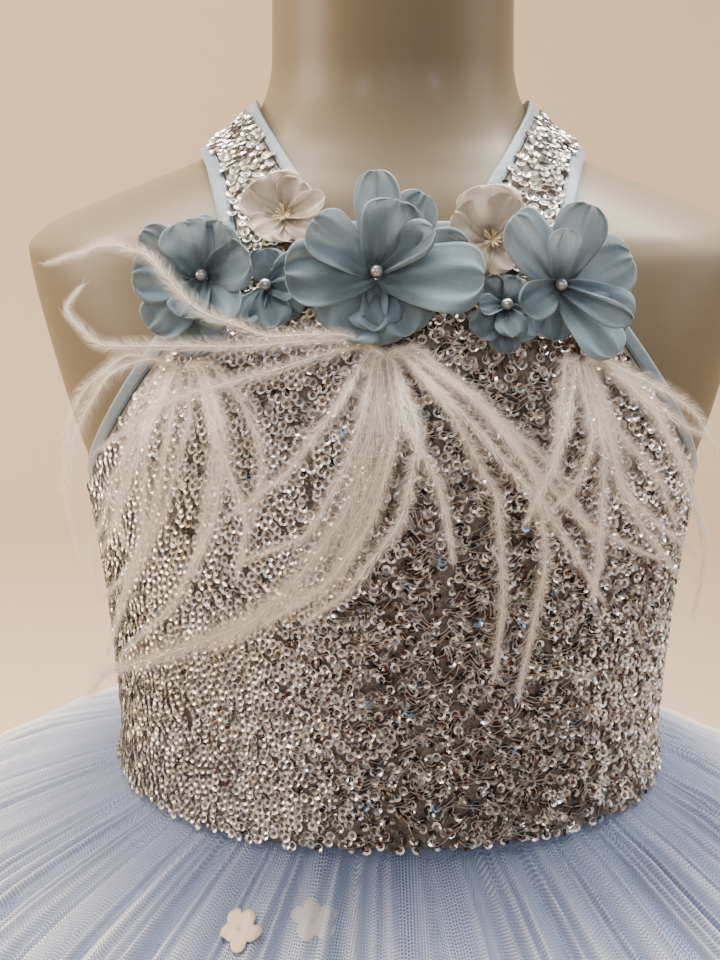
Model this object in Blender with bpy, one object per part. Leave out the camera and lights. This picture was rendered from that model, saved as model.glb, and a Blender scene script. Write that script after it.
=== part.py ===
"""A girl's party dress worn on a limbless dress form.

The bodice is a sequinned front and two backs with wide shoulder straps, bound in satin. Cloth flowers
with pearls stand along the neckline over ostrich fronds, and a full tulle skirt is gathered on at the
waist over an underskirt. Sizes are in millimetres and angles in degrees, and MM turns them into Blender's
metres. Heights on the garment are measured from the waist seam, which stands WAIST_HEIGHT above the floor.
+Z is up and the front faces -Y.
"""

import math
from collections import namedtuple

import bmesh
import bpy
import numpy as np

MM = 0.001
FRONT, BACK = -1, 1
SEAM_GAP = 0.3

# The dress form: a smooth torso with cut shoulders and a plain neck, on a pole and a round foot.
WAIST_HEIGHT = 700.0
FORM_COLUMNS = 28
POLE_RADIUS, POLE_STEPS = 12.5, 20
FLANGE_RADIUS, FLANGE_THICKNESS = 32.0, 6.0
FOOT_RADIUS, FOOT_THICKNESS, FOOT_BEVEL, FOOT_STEPS = 150.0, 10.0, 2.0, 32
SOCKET_RADIUS, SOCKET_HEIGHT, SOCKET_TAPER = 20.0, 28.0, 2.0

# height above the waist, half of the width, depth to the front and to the back, and how square it is
Section = namedtuple("Section", "height half_width front back squareness")
FORM = [
    Section(-180, 97, 82, 88, 2.2),
    Section(-120, 104, 87, 94, 2.2),
    Section(-55, 99, 84, 83, 2.2),
    Section(0, 92, 77, 72, 2.2),
    Section(50, 94, 80, 74, 2.2),
    Section(100, 99.5, 83, 80, 2.2),
    Section(125, 106.5, 82, 83, 2.2),
    Section(150, 113, 77, 81, 2.2),
    Section(170, 117.5, 70, 75, 2.2),
    Section(178, 118.5, 66.5, 71, 2.2),
    Section(184, 113, 63.5, 67, 2.2),
    Section(190, 100, 60, 62, 2.15),
    Section(197, 82, 56, 56, 2.1),
    Section(206, 60, 50, 48, 2.05),
    Section(215, 47, 45, 43, 2.0),
    Section(225, 40.5, 41, 40, 2.0),
    Section(235, 38.5, 39, 38.5, 2.0),
    Section(286, 37.7, 38, 37.7, 2.0),
]
FORM_RINGS = [-180, -115, -60, -22, -8, 0, 40, 70, 97.5, 116, 142, 166, 178, 184, 189, 193, 198, 203, 209,
              219, 234, 286]
SHOULDER_HEIGHT, NECK_SIDE = 178.0, 41.5

# The bodice: walls that follow the form, with armholes cut in to the straps. Its lower edge laps the skirt.
EASE, STRAP_EASE = 1.0, 2.2
CLOTH = 1.6
BINDING_CLOTH, BINDING_WIDTH = 2.4, 4.6
NECK_BINDING = 4.0
FRONT_TOP, BACK_TOP = 190.0, 165.0
UNDERARM = 102.5
HEM_LIP, HEM_LIP_HEIGHT = 4.4, 12.0
LOWER_ROWS = [-3, 3, 12, 40, 70]
STRAIGHTENING = (118.0, 60.0)
ZIP_WIDTH = 5.0

# height of the armhole's edge, and its half width across the front or the back
EdgePoint = namedtuple("EdgePoint", "height half_width")
FRONT_ARMHOLE = [EdgePoint(103, 99.8), EdgePoint(120, 93), EdgePoint(141, 81), EdgePoint(158, 69),
                 EdgePoint(172, 58), EdgePoint(186, 50)]
BACK_ARMHOLE = [EdgePoint(103, 99.8), EdgePoint(120, 92), EdgePoint(140, 80), EdgePoint(153, 70),
                EdgePoint(161, 64)]
FRONT_ARMHOLE_HEIGHTS = [103, 104.8, 108.5, 116, 128, 142, 157, 171, 181]
BACK_ARMHOLE_HEIGHTS = [156, 147, 136, 126, 116, 108.5, 104.8, 103]

# how far along the strap, from the front end (-1) over the ridge (0) to the back end (1), and its edges
StrapPoint = namedtuple("StrapPoint", "along inner outer")
STRAP = [StrapPoint(-1.0, 18, 50.2), StrapPoint(-0.5, 35.5, 56.5), StrapPoint(-0.25, 40, 59.3),
         StrapPoint(0.0, 41.5, 60.5), StrapPoint(0.5, 39.8, 61.5), StrapPoint(1.0, 34, 64.2)]
STRAP_STATIONS = [1.0, 0.86, 0.72, 0.58, 0.42, 0.24, 0.0]
SHOULDER_SEAM, STRAP_CORNER = 0.006, 0.96
STRAP_SEGMENTS, CENTRE_SEGMENTS, BACK_SEGMENTS = 5, 8, 4

# The skirts: rings of the outer wall below the waist, each with the height of its folds.
SkirtRow = namedtuple("SkirtRow", "height half_width half_depth fold")
SKIRT_CENTRE = -2.5
SKIRT_SQUARENESS = 2.2
SKIRT = [
    SkirtRow(-1, 95.3, 77.8, 0),
    SkirtRow(-5, 95.8, 78.3, 0.1),
    SkirtRow(-10, 117, 101, 1.6),
    SkirtRow(-33, 171, 155, 4.0),
    SkirtRow(-66, 203, 190, 6.5),
    SkirtRow(-130, 240, 229, 9.0),
    SkirtRow(-240, 283, 274, 12.0),
    SkirtRow(-390, 326, 318, 14.0),
    SkirtRow(-560, 363, 357, 16.0),
]
SKIRT_FOLDS = 42
SKIRT_CLOTH = 1.2
UNDERSKIRT = [
    SkirtRow(-1, 93.8, 76.3, 0),
    SkirtRow(-5, 94.0, 76.5, 0),
    SkirtRow(-14, 102, 86, 0.8),
    SkirtRow(-45, 160, 145, 3.0),
    SkirtRow(-140, 216, 205, 5.0),
    SkirtRow(-545, 324, 318, 9.0),
]
UNDERSKIRT_FOLDS = 18
UNDERSKIRT_CLOTH = 1.0
STEPS_PER_FOLD = 4

# Cloth flowers on the bodice: where the pearl sits, how far the petals reach, how far the petals' middle is
# from the pearl, how far the flower's back stands off the form, and how far aside its stem is sewn on.
FLOWER_FIELDS = "name x height radius shift_x shift_z petals whorls lift stem_x"
Flower = namedtuple("Flower", FLOWER_FIELDS, defaults=[0.0])
FLOWERS = [
    Flower("flower_large_centre", -5, 173, 27, 3.0, 1.0, 5, 2, 8.5),
    Flower("flower_large_right", -55, 171, 19.5, -3.0, -2.0, 5, 2, 8.5, 10.0),
    Flower("flower_large_left", 46, 170, 19, 2.5, -1.0, 5, 2, 10.0),
    Flower("flower_small_right", -33.5, 168, 8.5, 1.5, -1.5, 5, 1, 5.5),
    Flower("flower_small_left", 27.5, 161, 8, -1.0, -2.0, 5, 1, 5.5),
    Flower("flower_ivory_right", -31, 189, 10, 0.0, 1.0, 5, 1, 7.0),
    Flower("flower_ivory_left", 25.5, 186.5, 8.5, -1.0, 1.5, 5, 1, 9.0),
]
PEARL_RADIUS = 2.0
STEPS_PER_PETAL = 4
FLOWER_STEM = 0.13

# Ostrich fronds: each bunch is a narrow backing on the bodice that its fronds grow from. A frond leaves at
# an angle from straight down, turning towards the wearer's left, and bends by so many degrees on its way.
Bunch = namedtuple("Bunch", "name x height layer")
BUNCHES = [Bunch("fronds_right", -60, 150, 0.0), Bunch("fronds_centre", -3, 154, 1.2),
           Bunch("fronds_left", 52, 150, 2.4)]
Frond = namedtuple("Frond", "angle length bend")
FRONDS = {
    "fronds_right": [Frond(-118, 42, -30), Frond(-92, 58, -45), Frond(-74, 50, 30), Frond(-58, 66, 38),
                     Frond(-44, 82, 34), Frond(-30, 60, 20), Frond(-17, 92, 12), Frond(-4, 70, -10),
                     Frond(9, 84, -16), Frond(22, 62, -22), Frond(36, 74, -34), Frond(52, 52, -40)],
    "fronds_centre": [Frond(-92, 35, 8), Frond(-77, 46, 6), Frond(-62, 46, 10), Frond(-46, 78, -6),
                      Frond(-30, 96, -38), Frond(-15, 124, -62), Frond(0, 84, -16), Frond(13, 70, 10),
                      Frond(26, 88, 22), Frond(39, 104, 16), Frond(53, 82, -14), Frond(68, 42, -30),
                      Frond(86, 36, -40)],
    "fronds_left": [Frond(-72, 18, 20), Frond(-50, 16, 20), Frond(-26, 76, 18), Frond(-15, 92, 10),
                    Frond(2, 70, -12), Frond(18, 86, 8), Frond(33, 64, 24), Frond(48, 78, -26),
                    Frond(62, 60, -38), Frond(78, 52, -30)],
}
FROND_STEPS = 5
FROND_LAYERS, FROND_LAYER_STEP = 5, 3.6
FROND_LIFT, FROND_RISE_START, FROND_RISE_LENGTH = 3.6, 4.0, 22.0
FROND_THICKNESS, FROND_TIP = 1.2, 0.5
BACKING_LENGTH, BACKING_HEIGHT = 9.0, 4.0
GUIDE_EASE = 32.0


def curve_through(at, knots, values):
    """A cubic curve through the points, with no overshoot between them."""
    knots, values = np.asarray(knots, float), np.asarray(values, float)
    at = np.clip(np.asarray(at, float), knots[0], knots[-1])
    gaps = np.diff(knots)
    slopes = np.diff(values) / gaps
    tangents = np.zeros(len(knots))
    tangents[0], tangents[-1] = slopes[0], slopes[-1]
    same = slopes[:-1] * slopes[1:] > 0
    before, after = slopes[:-1][same], slopes[1:][same]
    tangents[1:-1][same] = 2 * before * after / (before + after)
    i = np.clip(np.searchsorted(knots, at, side="right") - 1, 0, len(gaps) - 1)
    gap = gaps[i]
    t = (at - knots[i]) / gap
    return (
        values[i] * (1 + 2 * t) * (1 - t) ** 2
        + tangents[i] * gap * t * (1 - t) ** 2
        + values[i + 1] * t * t * (3 - 2 * t)
        + tangents[i + 1] * gap * t * t * (t - 1)
    )


def column(table, name):
    """One named column of a table, as an array."""
    return np.array([getattr(row, name) for row in table], float)


def smooth_step(value):
    """0 below 0 and 1 above 1, with a soft start and end."""
    t = np.clip(value, 0, 1)
    return t * t * (3 - 2 * t)


def section_at(height, side, wider=0.0):
    """(half width, depth on that side, squareness) of the form at a height, widened by wider."""
    heights = column(FORM, "height")
    depth = np.where(
        np.asarray(side) < 0,
        curve_through(height, heights, column(FORM, "front")),
        curve_through(height, heights, column(FORM, "back")),
    )
    width = curve_through(height, heights, column(FORM, "half_width")) + wider
    return width, depth, curve_through(height, heights, column(FORM, "squareness"))


def on_form(x, height, side, off=0.0, wider=0.0):
    """(points, normals) off millimetres outside the form, from their place across it, height and side."""
    values = (np.asarray(value, float) for value in (x, height, side, off))
    x, height, side, off = np.broadcast_arrays(*values)
    width, depth, power = section_at(height, side, wider)
    across = np.clip(np.abs(x) / width, 0, 1)
    deep = (1 - across**power) ** (1 / power)
    step = 0.5
    above_width, above_depth, _ = section_at(height + step, side, wider)
    normal = np.stack(
        [
            np.sign(x) * across ** (power - 1) / width,
            side * deep ** (power - 1) / depth,
            -(across**power) * (above_width - width) / step / width
            - deep**power * (above_depth - depth) / step / depth,
        ],
        axis=-1,
    )
    normal /= np.linalg.norm(normal, axis=-1, keepdims=True)
    point = np.stack([np.sign(x) * across * width, side * depth * deep, height], axis=-1)
    return point + off[..., None] * normal, normal


def ridge_height(x):
    """The height of the shoulder's ridge at a distance from the middle."""
    heights = np.linspace(SHOULDER_HEIGHT, FORM[-1].height, 400)
    widths = section_at(heights, FRONT)[0]
    return np.interp(x, widths[::-1], heights[::-1])


def strap_point(along, share, off=0.0):
    """(points, normals) on the left strap: along it, and across from its inner (0) to outer edge (1)."""
    along, share = np.broadcast_arrays(np.asarray(along, float), np.asarray(share, float))
    stations = column(STRAP, "along")
    inner = curve_through(along, stations, column(STRAP, "inner"))
    outer = curve_through(along, stations, column(STRAP, "outer"))
    x = inner + (outer - inner) * share
    end = np.where(along < 0, FRONT_TOP, BACK_TOP) - NECK_BINDING - SEAM_GAP
    top = ridge_height(np.maximum(x, NECK_SIDE))
    return on_form(x, top - (top - end) * along**2, np.where(along < 0, FRONT, BACK), off)


def strap_inset(along, share, width):
    """The share of the strap's width that a strip so wide takes up along one of its edges."""
    before, after = np.clip(along - 0.01, -1, 1), np.clip(along + 0.01, -1, 1)
    ahead = strap_point(after, share)[0] - strap_point(before, share)[0]
    across = strap_point(along, 1.0)[0] - strap_point(along, 0.0)[0]
    full = np.linalg.norm(across, axis=-1)
    lean = np.linalg.norm(np.cross(ahead, across), axis=-1) / full / np.linalg.norm(ahead, axis=-1)
    return width / full / lean


def make_material(name, colour, roughness, metallic=0.0):
    """A Principled material in one colour, given as linear red, green and blue."""
    material = bpy.data.materials.new(name)
    material.use_nodes = True
    shader = material.node_tree.nodes["Principled BSDF"]
    shader.inputs["Base Color"].default_value = (*colour, 1)
    shader.inputs["Roughness"].default_value = roughness
    shader.inputs["Metallic"].default_value = metallic
    return material


def add_solid(name, points, faces, material, parent, smooth=True):
    """One named object from points in millimetres, with its faces turned outwards."""
    mesh = bpy.data.meshes.new(name)
    mesh.from_pydata((np.asarray(points, float) * MM).tolist(), [], faces)
    shape = bmesh.new()
    shape.from_mesh(mesh)
    bmesh.ops.recalc_face_normals(shape, faces=shape.faces)
    if shape.calc_volume(signed=True) < 0:
        bmesh.ops.reverse_faces(shape, faces=shape.faces)
    shape.to_mesh(mesh)
    shape.free()
    if smooth:
        mesh.shade_smooth()
    mesh.materials.append(material)
    solid = bpy.data.objects.new(name, mesh)
    bpy.context.scene.collection.objects.link(solid)
    solid.parent = parent
    return solid


def quads(index):
    """The four-sided faces of a grid of point numbers."""
    corners = [index[:-1, :-1], index[:-1, 1:], index[1:, 1:], index[1:, :-1]]
    return np.stack(corners, axis=-1).reshape(-1, 4).tolist()


def ring_index(rows, columns, start=0):
    """Point numbers of a grid whose last column joins its first."""
    index = start + np.arange(rows * columns).reshape(rows, columns)
    return np.hstack([index, index[:, :1]])


def cloth_wall(outside, inside, faces):
    """(points, faces) of a wall: faces outside, the same inside, and a rim round every edge."""
    count = len(outside)
    uses = {}
    for face in faces:
        for edge in zip(face, face[1:] + face[:1]):
            uses.setdefault(frozenset(edge), []).append(edge)
    rims = [[a, a + count, b + count, b] for edges in uses.values() if len(edges) == 1 for a, b in edges]
    backs = [[face[0] + count] + [corner + count for corner in face[:0:-1]] for face in faces]
    return np.concatenate([outside, inside]), faces + backs + rims


def turned(profile, steps):
    """(points, faces) of a solid turned about the vertical axis, from (radius, height) pairs."""
    turn = np.linspace(0, 2 * math.pi, steps, endpoint=False)
    radius, height = np.array(profile, float).T[:, :, None]
    rings = np.stack([radius * np.cos(turn), radius * np.sin(turn), height + 0 * turn], axis=-1)
    index = ring_index(len(profile), steps)
    return rings.reshape(-1, 3), quads(index) + [index[0, :-1].tolist(), index[-1, :-1].tolist()]


def mirrored(points):
    """The same points on the wearer's right."""
    return points * np.array([-1, 1, 1])


def build_form(materials, waist):
    """The torso, closed flat at the hips and at the neck."""
    turn = np.linspace(0, 2 * math.pi, FORM_COLUMNS, endpoint=False)
    height, turn = np.meshgrid(np.array(FORM_RINGS, float), turn, indexing="ij")
    side = np.where(np.cos(turn) >= 0, FRONT, BACK)
    width, depth, power = section_at(height, side)
    x = width * np.sign(np.sin(turn)) * np.abs(np.sin(turn)) ** (2 / power)
    y = side * depth * np.abs(np.cos(turn)) ** (2 / power)
    index = ring_index(*height.shape)
    faces = quads(index) + [index[0, :-1].tolist(), index[-1, :-1].tolist()]
    points = np.stack([x, y, height], axis=-1).reshape(-1, 3)
    add_solid("dress_form", points, faces, materials["form"], waist)


def build_stand(materials):
    """The round foot, the socket on it, and the pole with its flange under the form."""
    foot = [(FOOT_RADIUS - FOOT_BEVEL, 0), (FOOT_RADIUS, FOOT_BEVEL),
            (FOOT_RADIUS, FOOT_THICKNESS - FOOT_BEVEL), (FOOT_RADIUS - FOOT_BEVEL, FOOT_THICKNESS)]
    add_solid("stand_foot", *turned(foot, FOOT_STEPS), materials["stand"], None, smooth=False)
    seat = FOOT_THICKNESS + SOCKET_HEIGHT
    socket = [(SOCKET_RADIUS, FOOT_THICKNESS + SEAM_GAP), (SOCKET_RADIUS - SOCKET_TAPER, seat)]
    add_solid("stand_socket", *turned(socket, POLE_STEPS), materials["stand"], None, smooth=False)
    top = WAIST_HEIGHT + FORM[0].height - SEAM_GAP
    pole = [(POLE_RADIUS, seat + SEAM_GAP), (POLE_RADIUS, top - 2 * FLANGE_THICKNESS),
            (FLANGE_RADIUS, top - FLANGE_THICKNESS), (FLANGE_RADIUS, top)]
    add_solid("stand_pole", *turned(pole, POLE_STEPS), materials["stand"], None, smooth=False)


def armhole_loop():
    """(edge, ways into the cloth, normals at the edge and at the cloth) round the left armhole."""
    pieces = []
    front = (FRONT_ARMHOLE_HEIGHTS, FRONT_ARMHOLE, FRONT)
    back = (BACK_ARMHOLE_HEIGHTS, BACK_ARMHOLE, BACK)
    for heights, table, side in (front, back):
        widths = curve_through(heights, column(table, "height"), column(table, "half_width"))
        pieces.append(on_form(np.minimum(widths, section_at(heights, side)[0]), heights, side))
    stations = np.array(STRAP_STATIONS[:-1])
    over = np.concatenate([-stations, [0.0], stations[::-1]])
    pieces.insert(1, strap_point(over, 1.0))
    pieces.append(on_form(section_at([UNDERARM], FRONT)[0], [UNDERARM], FRONT))
    points, normals = (np.concatenate([piece[k] for piece in pieces]) for k in range(2))
    along = np.roll(points, -1, axis=0) - np.roll(points, 1, axis=0)
    inwards = np.cross(normals, along)
    inwards /= np.linalg.norm(inwards, axis=1, keepdims=True)
    on_strap = slice(len(FRONT_ARMHOLE_HEIGHTS), len(FRONT_ARMHOLE_HEIGHTS) + len(over))
    inner, inner_normals = strap_point(over, 1 - strap_inset(over, 1.0, BINDING_WIDTH))
    inwards[on_strap] = (inner - points[on_strap]) / BINDING_WIDTH
    cloth_normals = normals.copy()
    cloth_normals[on_strap] = inner_normals
    return points, inwards, normals, cloth_normals


def band(edge, inner_edge, low, closed=False):
    """(points, faces) of a flat band between two edges of (points, normals), from low off the form up."""
    points, normals = (np.concatenate([edge[k], inner_edge[k]]) for k in range(2))
    index = np.arange(len(points)).reshape(2, -1)
    if closed:
        index = np.hstack([index, index[:, :1]])
    return cloth_wall(points + normals * (low + BINDING_CLOTH), points + normals * low, quads(index))


def panel_rows(side):
    """(heights, half widths) of a panel's rows: the form's own, then up along the armhole binding."""
    edge, inwards, _, _ = armhole_loop()
    count = len(FRONT_ARMHOLE_HEIGHTS if side == FRONT else BACK_ARMHOLE_HEIGHTS)
    cut = (edge + inwards * (BINDING_WIDTH + SEAM_GAP))[:count]
    if side == BACK:
        cut = (edge + inwards * (BINDING_WIDTH + SEAM_GAP))[-2 : -2 - count : -1]
    lower = np.append(LOWER_ROWS, UNDERARM - BINDING_WIDTH - SEAM_GAP)
    return np.append(lower, cut[:, 2]), np.append(section_at(lower, side)[0], cut[:, 0])


def bodice_offset(rows):
    """How far the bodice's inside lies off the form at each height: further at the lip and at the top."""
    lip = HEM_LIP * smooth_step(1 - (rows + 3) / HEM_LIP_HEIGHT)
    rise = (STRAP_EASE - EASE) * smooth_step((rows - STRAIGHTENING[0]) / STRAIGHTENING[1])
    return EASE + lip + rise


def strap_grid(side):
    """(points, normals) of the half strap on one side, from its end up, inner edge first."""
    along = side * np.array(STRAP_STATIONS)
    along[-1] = side * SHOULDER_SEAM
    taken = BINDING_WIDTH + 1.2 * SEAM_GAP
    start = strap_inset(along, 0.0, taken)
    end = 1 - strap_inset(along, 1.0, taken)
    share = start[:, None] + (end - start)[:, None] * np.linspace(0, 1, STRAP_SEGMENTS + 1)
    points, normals = strap_point(along[:, None] + 0 * share, share)
    points[-1, :, 1] = side * SEAM_GAP
    return points, normals


def build_bodice_front(materials, waist):
    """The front with both half straps in one piece of cloth, up to the shoulder seams."""
    strap, strap_normals = strap_grid(FRONT)
    rows, width = panel_rows(FRONT)
    top = strap[0, :, 0]
    centre = np.linspace(-top[0], top[0], CENTRE_SEGMENTS + 1)
    top_x = np.concatenate([-top[::-1], centre[1:-1], top])
    even = np.sin(np.linspace(-1, 1, len(top_x)) * math.pi / 2)
    blend = smooth_step((rows - STRAIGHTENING[0]) / STRAIGHTENING[1])[:, None]
    x = width[:, None] * (even * (1 - blend) + top_x / top[-1] * blend)
    body, body_normals = on_form(x, rows[:, None] + 0 * x, FRONT)
    body[..., 1] = np.minimum(body[..., 1], -SEAM_GAP)
    last, last_normals = on_form(top_x, FRONT_TOP - NECK_BINDING - SEAM_GAP + 0 * top_x, FRONT)
    grid = np.concatenate([body, last[None]])
    normals = np.concatenate([body_normals, last_normals[None]])
    off = np.concatenate([bodice_offset(rows), [STRAP_EASE]])[:, None] + 0 * grid[..., 0]
    index = np.arange(grid[..., 0].size).reshape(grid.shape[:2])
    faces = quads(index)
    points, normals, off = [grid.reshape(-1, 3)], [normals.reshape(-1, 3)], [off.ravel()]
    count = index.size
    for flip, ends in ((1, index[-1, -STRAP_SEGMENTS - 1:]), (-1, index[-1, STRAP_SEGMENTS::-1])):
        mirror = np.array([flip, 1, 1])
        rest = count + np.arange(strap[1:, :, 0].size).reshape(-1, STRAP_SEGMENTS + 1)
        faces += quads(np.vstack([ends, rest])[:, ::flip])
        points.append((strap[1:] * mirror).reshape(-1, 3))
        normals.append((strap_normals[1:] * mirror).reshape(-1, 3))
        off.append(np.full(rest.size, STRAP_EASE))
        count += rest.size
    points, normals, off = np.concatenate(points), np.concatenate(normals), np.concatenate(off)[:, None]
    shell = cloth_wall(points + normals * (off + CLOTH), points + normals * off, faces)
    add_solid("bodice_front", *shell, materials["sequins"], waist)


def build_bodice_backs(materials, waist):
    """The two backs with their half straps, and the zip between them."""
    strap, strap_normals = strap_grid(BACK)
    rows, width = panel_rows(BACK)
    top = strap[0, :, 0]
    start = ZIP_WIDTH / 2 + SEAM_GAP
    top_x = np.concatenate([np.linspace(start, top[0], BACK_SEGMENTS + 1)[:-1], top])
    even = np.sin(np.linspace(0, 1, len(top_x)) * math.pi / 2)
    blend = smooth_step((rows - STRAIGHTENING[0]) / STRAIGHTENING[1])[:, None]
    share = even * (1 - blend) + (top_x - start) / (top[-1] - start) * blend
    x = start + (width[:, None] - start) * share
    body, body_normals = on_form(x, rows[:, None] + 0 * x, BACK)
    body[..., 1] = np.maximum(body[..., 1], SEAM_GAP)
    last, last_normals = on_form(top_x, BACK_TOP - NECK_BINDING - SEAM_GAP + 0 * top_x, BACK)
    grid = np.concatenate([body, last[None]])
    index = np.arange(grid[..., 0].size).reshape(grid.shape[:2])
    rest = index.size + np.arange(strap[1:, :, 0].size).reshape(-1, STRAP_SEGMENTS + 1)
    faces = quads(index) + quads(np.vstack([index[-1, BACK_SEGMENTS:], rest]))
    points = np.concatenate([grid.reshape(-1, 3), strap[1:].reshape(-1, 3)])
    strap_normals = strap_normals[1:].reshape(-1, 3)
    normals = np.concatenate([body_normals.reshape(-1, 3), last_normals, strap_normals])
    body_off = np.repeat(np.concatenate([bodice_offset(rows), [STRAP_EASE]]), len(top_x))
    off = np.concatenate([body_off, np.full(rest.size, STRAP_EASE)])[:, None]
    outside, inside = points + normals * (off + CLOTH), points + normals * off
    add_solid("bodice_back_left", *cloth_wall(outside, inside, faces), materials["sequins"], waist)
    shell = cloth_wall(mirrored(outside), mirrored(inside), faces)
    add_solid("bodice_back_right", *shell, materials["sequins"], waist)

    rows = np.append(rows, BACK_TOP)
    strip_x = np.array([-ZIP_WIDTH / 2, ZIP_WIDTH / 2])
    points, normals = on_form(strip_x + 0 * rows[:, None], rows[:, None] + 0 * strip_x, BACK)
    off = np.repeat(bodice_offset(rows), 2)[:, None]
    points, normals = points.reshape(-1, 3), normals.reshape(-1, 3)
    faces = quads(np.arange(len(points)).reshape(-1, 2))
    zip_tape = cloth_wall(points + normals * (off + CLOTH), points + normals * off, faces)
    add_solid("back_zip", *zip_tape, materials["binding"], waist)


def build_bindings(materials, waist):
    """Satin bindings round the armholes, along the inner edges of the straps and across the neck."""
    edge, inwards, normals, cloth_normals = armhole_loop()
    low = bodice_offset(edge[:, 2])
    over = np.array(STRAP_STATIONS)
    low[len(FRONT_ARMHOLE_HEIGHTS):][: 2 * len(over) - 1] = STRAP_EASE
    inner_edge = edge + inwards * BINDING_WIDTH
    loop = band((edge, normals), (inner_edge, cloth_normals), np.tile(low, 2)[:, None], closed=True)
    add_solid("armhole_binding_left", *loop, materials["binding"], waist)
    add_solid("armhole_binding_right", mirrored(loop[0]), loop[1], materials["binding"], waist)

    along = np.concatenate([-over, over[-2:0:-1], [STRAP_CORNER]])
    along[0] += 2 * SHOULDER_SEAM
    edge = strap_point(along, 0.0)
    along[-1] = 1.0
    inner_edge = strap_point(along, strap_inset(along, 0.0, BINDING_WIDTH))
    to_zip = np.linspace(STRAP[-1].inner, ZIP_WIDTH / 2 + SEAM_GAP, BACK_SEGMENTS)[1:]
    neck, cloth = on_form(to_zip, BACK_TOP, BACK), on_form(to_zip, BACK_TOP - NECK_BINDING, BACK)
    inner_edge[0][-1, 2] = BACK_TOP - NECK_BINDING
    strip = band(
        [np.concatenate([edge[k], neck[k]]) for k in range(2)],
        [np.concatenate([inner_edge[k], cloth[k]]) for k in range(2)],
        STRAP_EASE,
    )
    add_solid("neck_binding_left", *strip, materials["binding"], waist)
    add_solid("neck_binding_right", mirrored(strip[0]), strip[1], materials["binding"], waist)

    neck = STRAP[0].inner - SEAM_GAP
    across = np.linspace(-neck, neck, 5)
    edge, cloth = on_form(across, FRONT_TOP, FRONT), on_form(across, FRONT_TOP - NECK_BINDING, FRONT)
    add_solid("neck_binding_front", *band(edge, cloth, STRAP_EASE), materials["binding"], waist)


def skirt_wall(table, folds, cloth, phase):
    """(outside, inside) of a gathered skirt: rings that swell from the waist and fold deeper to the hem."""
    steps = folds * STEPS_PER_FOLD
    turn = np.arange(steps) * 2 * math.pi / steps
    turn = turn + 0.35 / folds * np.sin(5 * turn + phase) + 0.3 / folds * np.sin(11 * turn + 2 * phase)
    wave = np.cos(np.arange(steps) * 2 * math.pi / STEPS_PER_FOLD)
    uneven = 0.78 + 0.22 * np.sin(3 * turn + phase) * np.sin(7 * turn + 1.3)
    height, width, depth, fold = (column(table, name)[:, None] for name in SkirtRow._fields)
    sway = 0.55 / folds * np.sin(2 * math.pi * height / 240 + 3 * turn) * (fold / fold.max())
    out = np.abs(np.sin(turn + sway)) ** (2 / SKIRT_SQUARENESS) * np.sign(np.sin(turn + sway))
    front = np.abs(np.cos(turn + sway)) ** (2 / SKIRT_SQUARENESS) * np.sign(np.cos(turn + sway))
    swell = fold * wave * uneven
    y = SKIRT_CENTRE - (depth + swell) * front
    outside = np.stack([(width + swell) * out, y, height + 0 * out], axis=-1)
    fall = np.gradient(np.stack([height[:, 0], width[:, 0]], axis=-1), axis=0)
    fall /= np.linalg.norm(fall, axis=1, keepdims=True)
    down, outwards = fall[:, :1], fall[:, 1:]
    away = np.stack([-down * out, down * front, outwards + 0 * out], axis=-1)
    return outside, outside - cloth * away


def build_skirt(name, wall, material, waist):
    """The front and the back of one skirt, which meet at the side seams."""
    quarter = wall[0].shape[1] // 4
    for panel, first, side in (("front", -quarter, FRONT), ("back", quarter, BACK)):
        columns = np.arange(first, first + 2 * quarter + 1)
        apart = np.zeros((len(columns), 3))
        apart[[0, -1], 1] = side * SEAM_GAP / 2
        outside, inside = (grid[:, columns] + apart for grid in wall)
        index = np.arange(outside[..., 0].size).reshape(outside.shape[:2])
        shell = cloth_wall(outside.reshape(-1, 3), inside.reshape(-1, 3), quads(index))
        add_solid(f"{name}_{panel}", *shell, material, waist)


def flower_frame(flower):
    """(middle, right, up, out): where the flower sits and the three directions it is built on."""
    middle, out = on_form(flower.x, flower.height, FRONT, flower.lift)
    right = np.cross([0, 0, 1], out)
    right /= -np.linalg.norm(right)
    return middle, right, np.cross(out, right), out


def flower_profile(whorls):
    """Rows from the middle of the top over the rims to the back's: reach, rise and depth of the lobes."""
    inner = [(0.17, 0.05, 0.0), (0.36, 0.16, 0.25), (0.60, 0.36, 0.75), (0.63, 0.32, 0.75),
             (0.40, 0.10, 0.25)]
    outer = [(0.62, 0.17, 0.5), (1.0, 0.36, 1.0), (1.0, 0.29, 1.0), (0.58, 0.04, 0.35)]
    single = [(0.20, 0.06, 0.0), (0.55, 0.22, 0.4), (1.0, 0.42, 1.0), (1.0, 0.35, 1.0), (0.45, 0.04, 0.3)]
    return inner + outer if whorls == 2 else single


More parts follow.
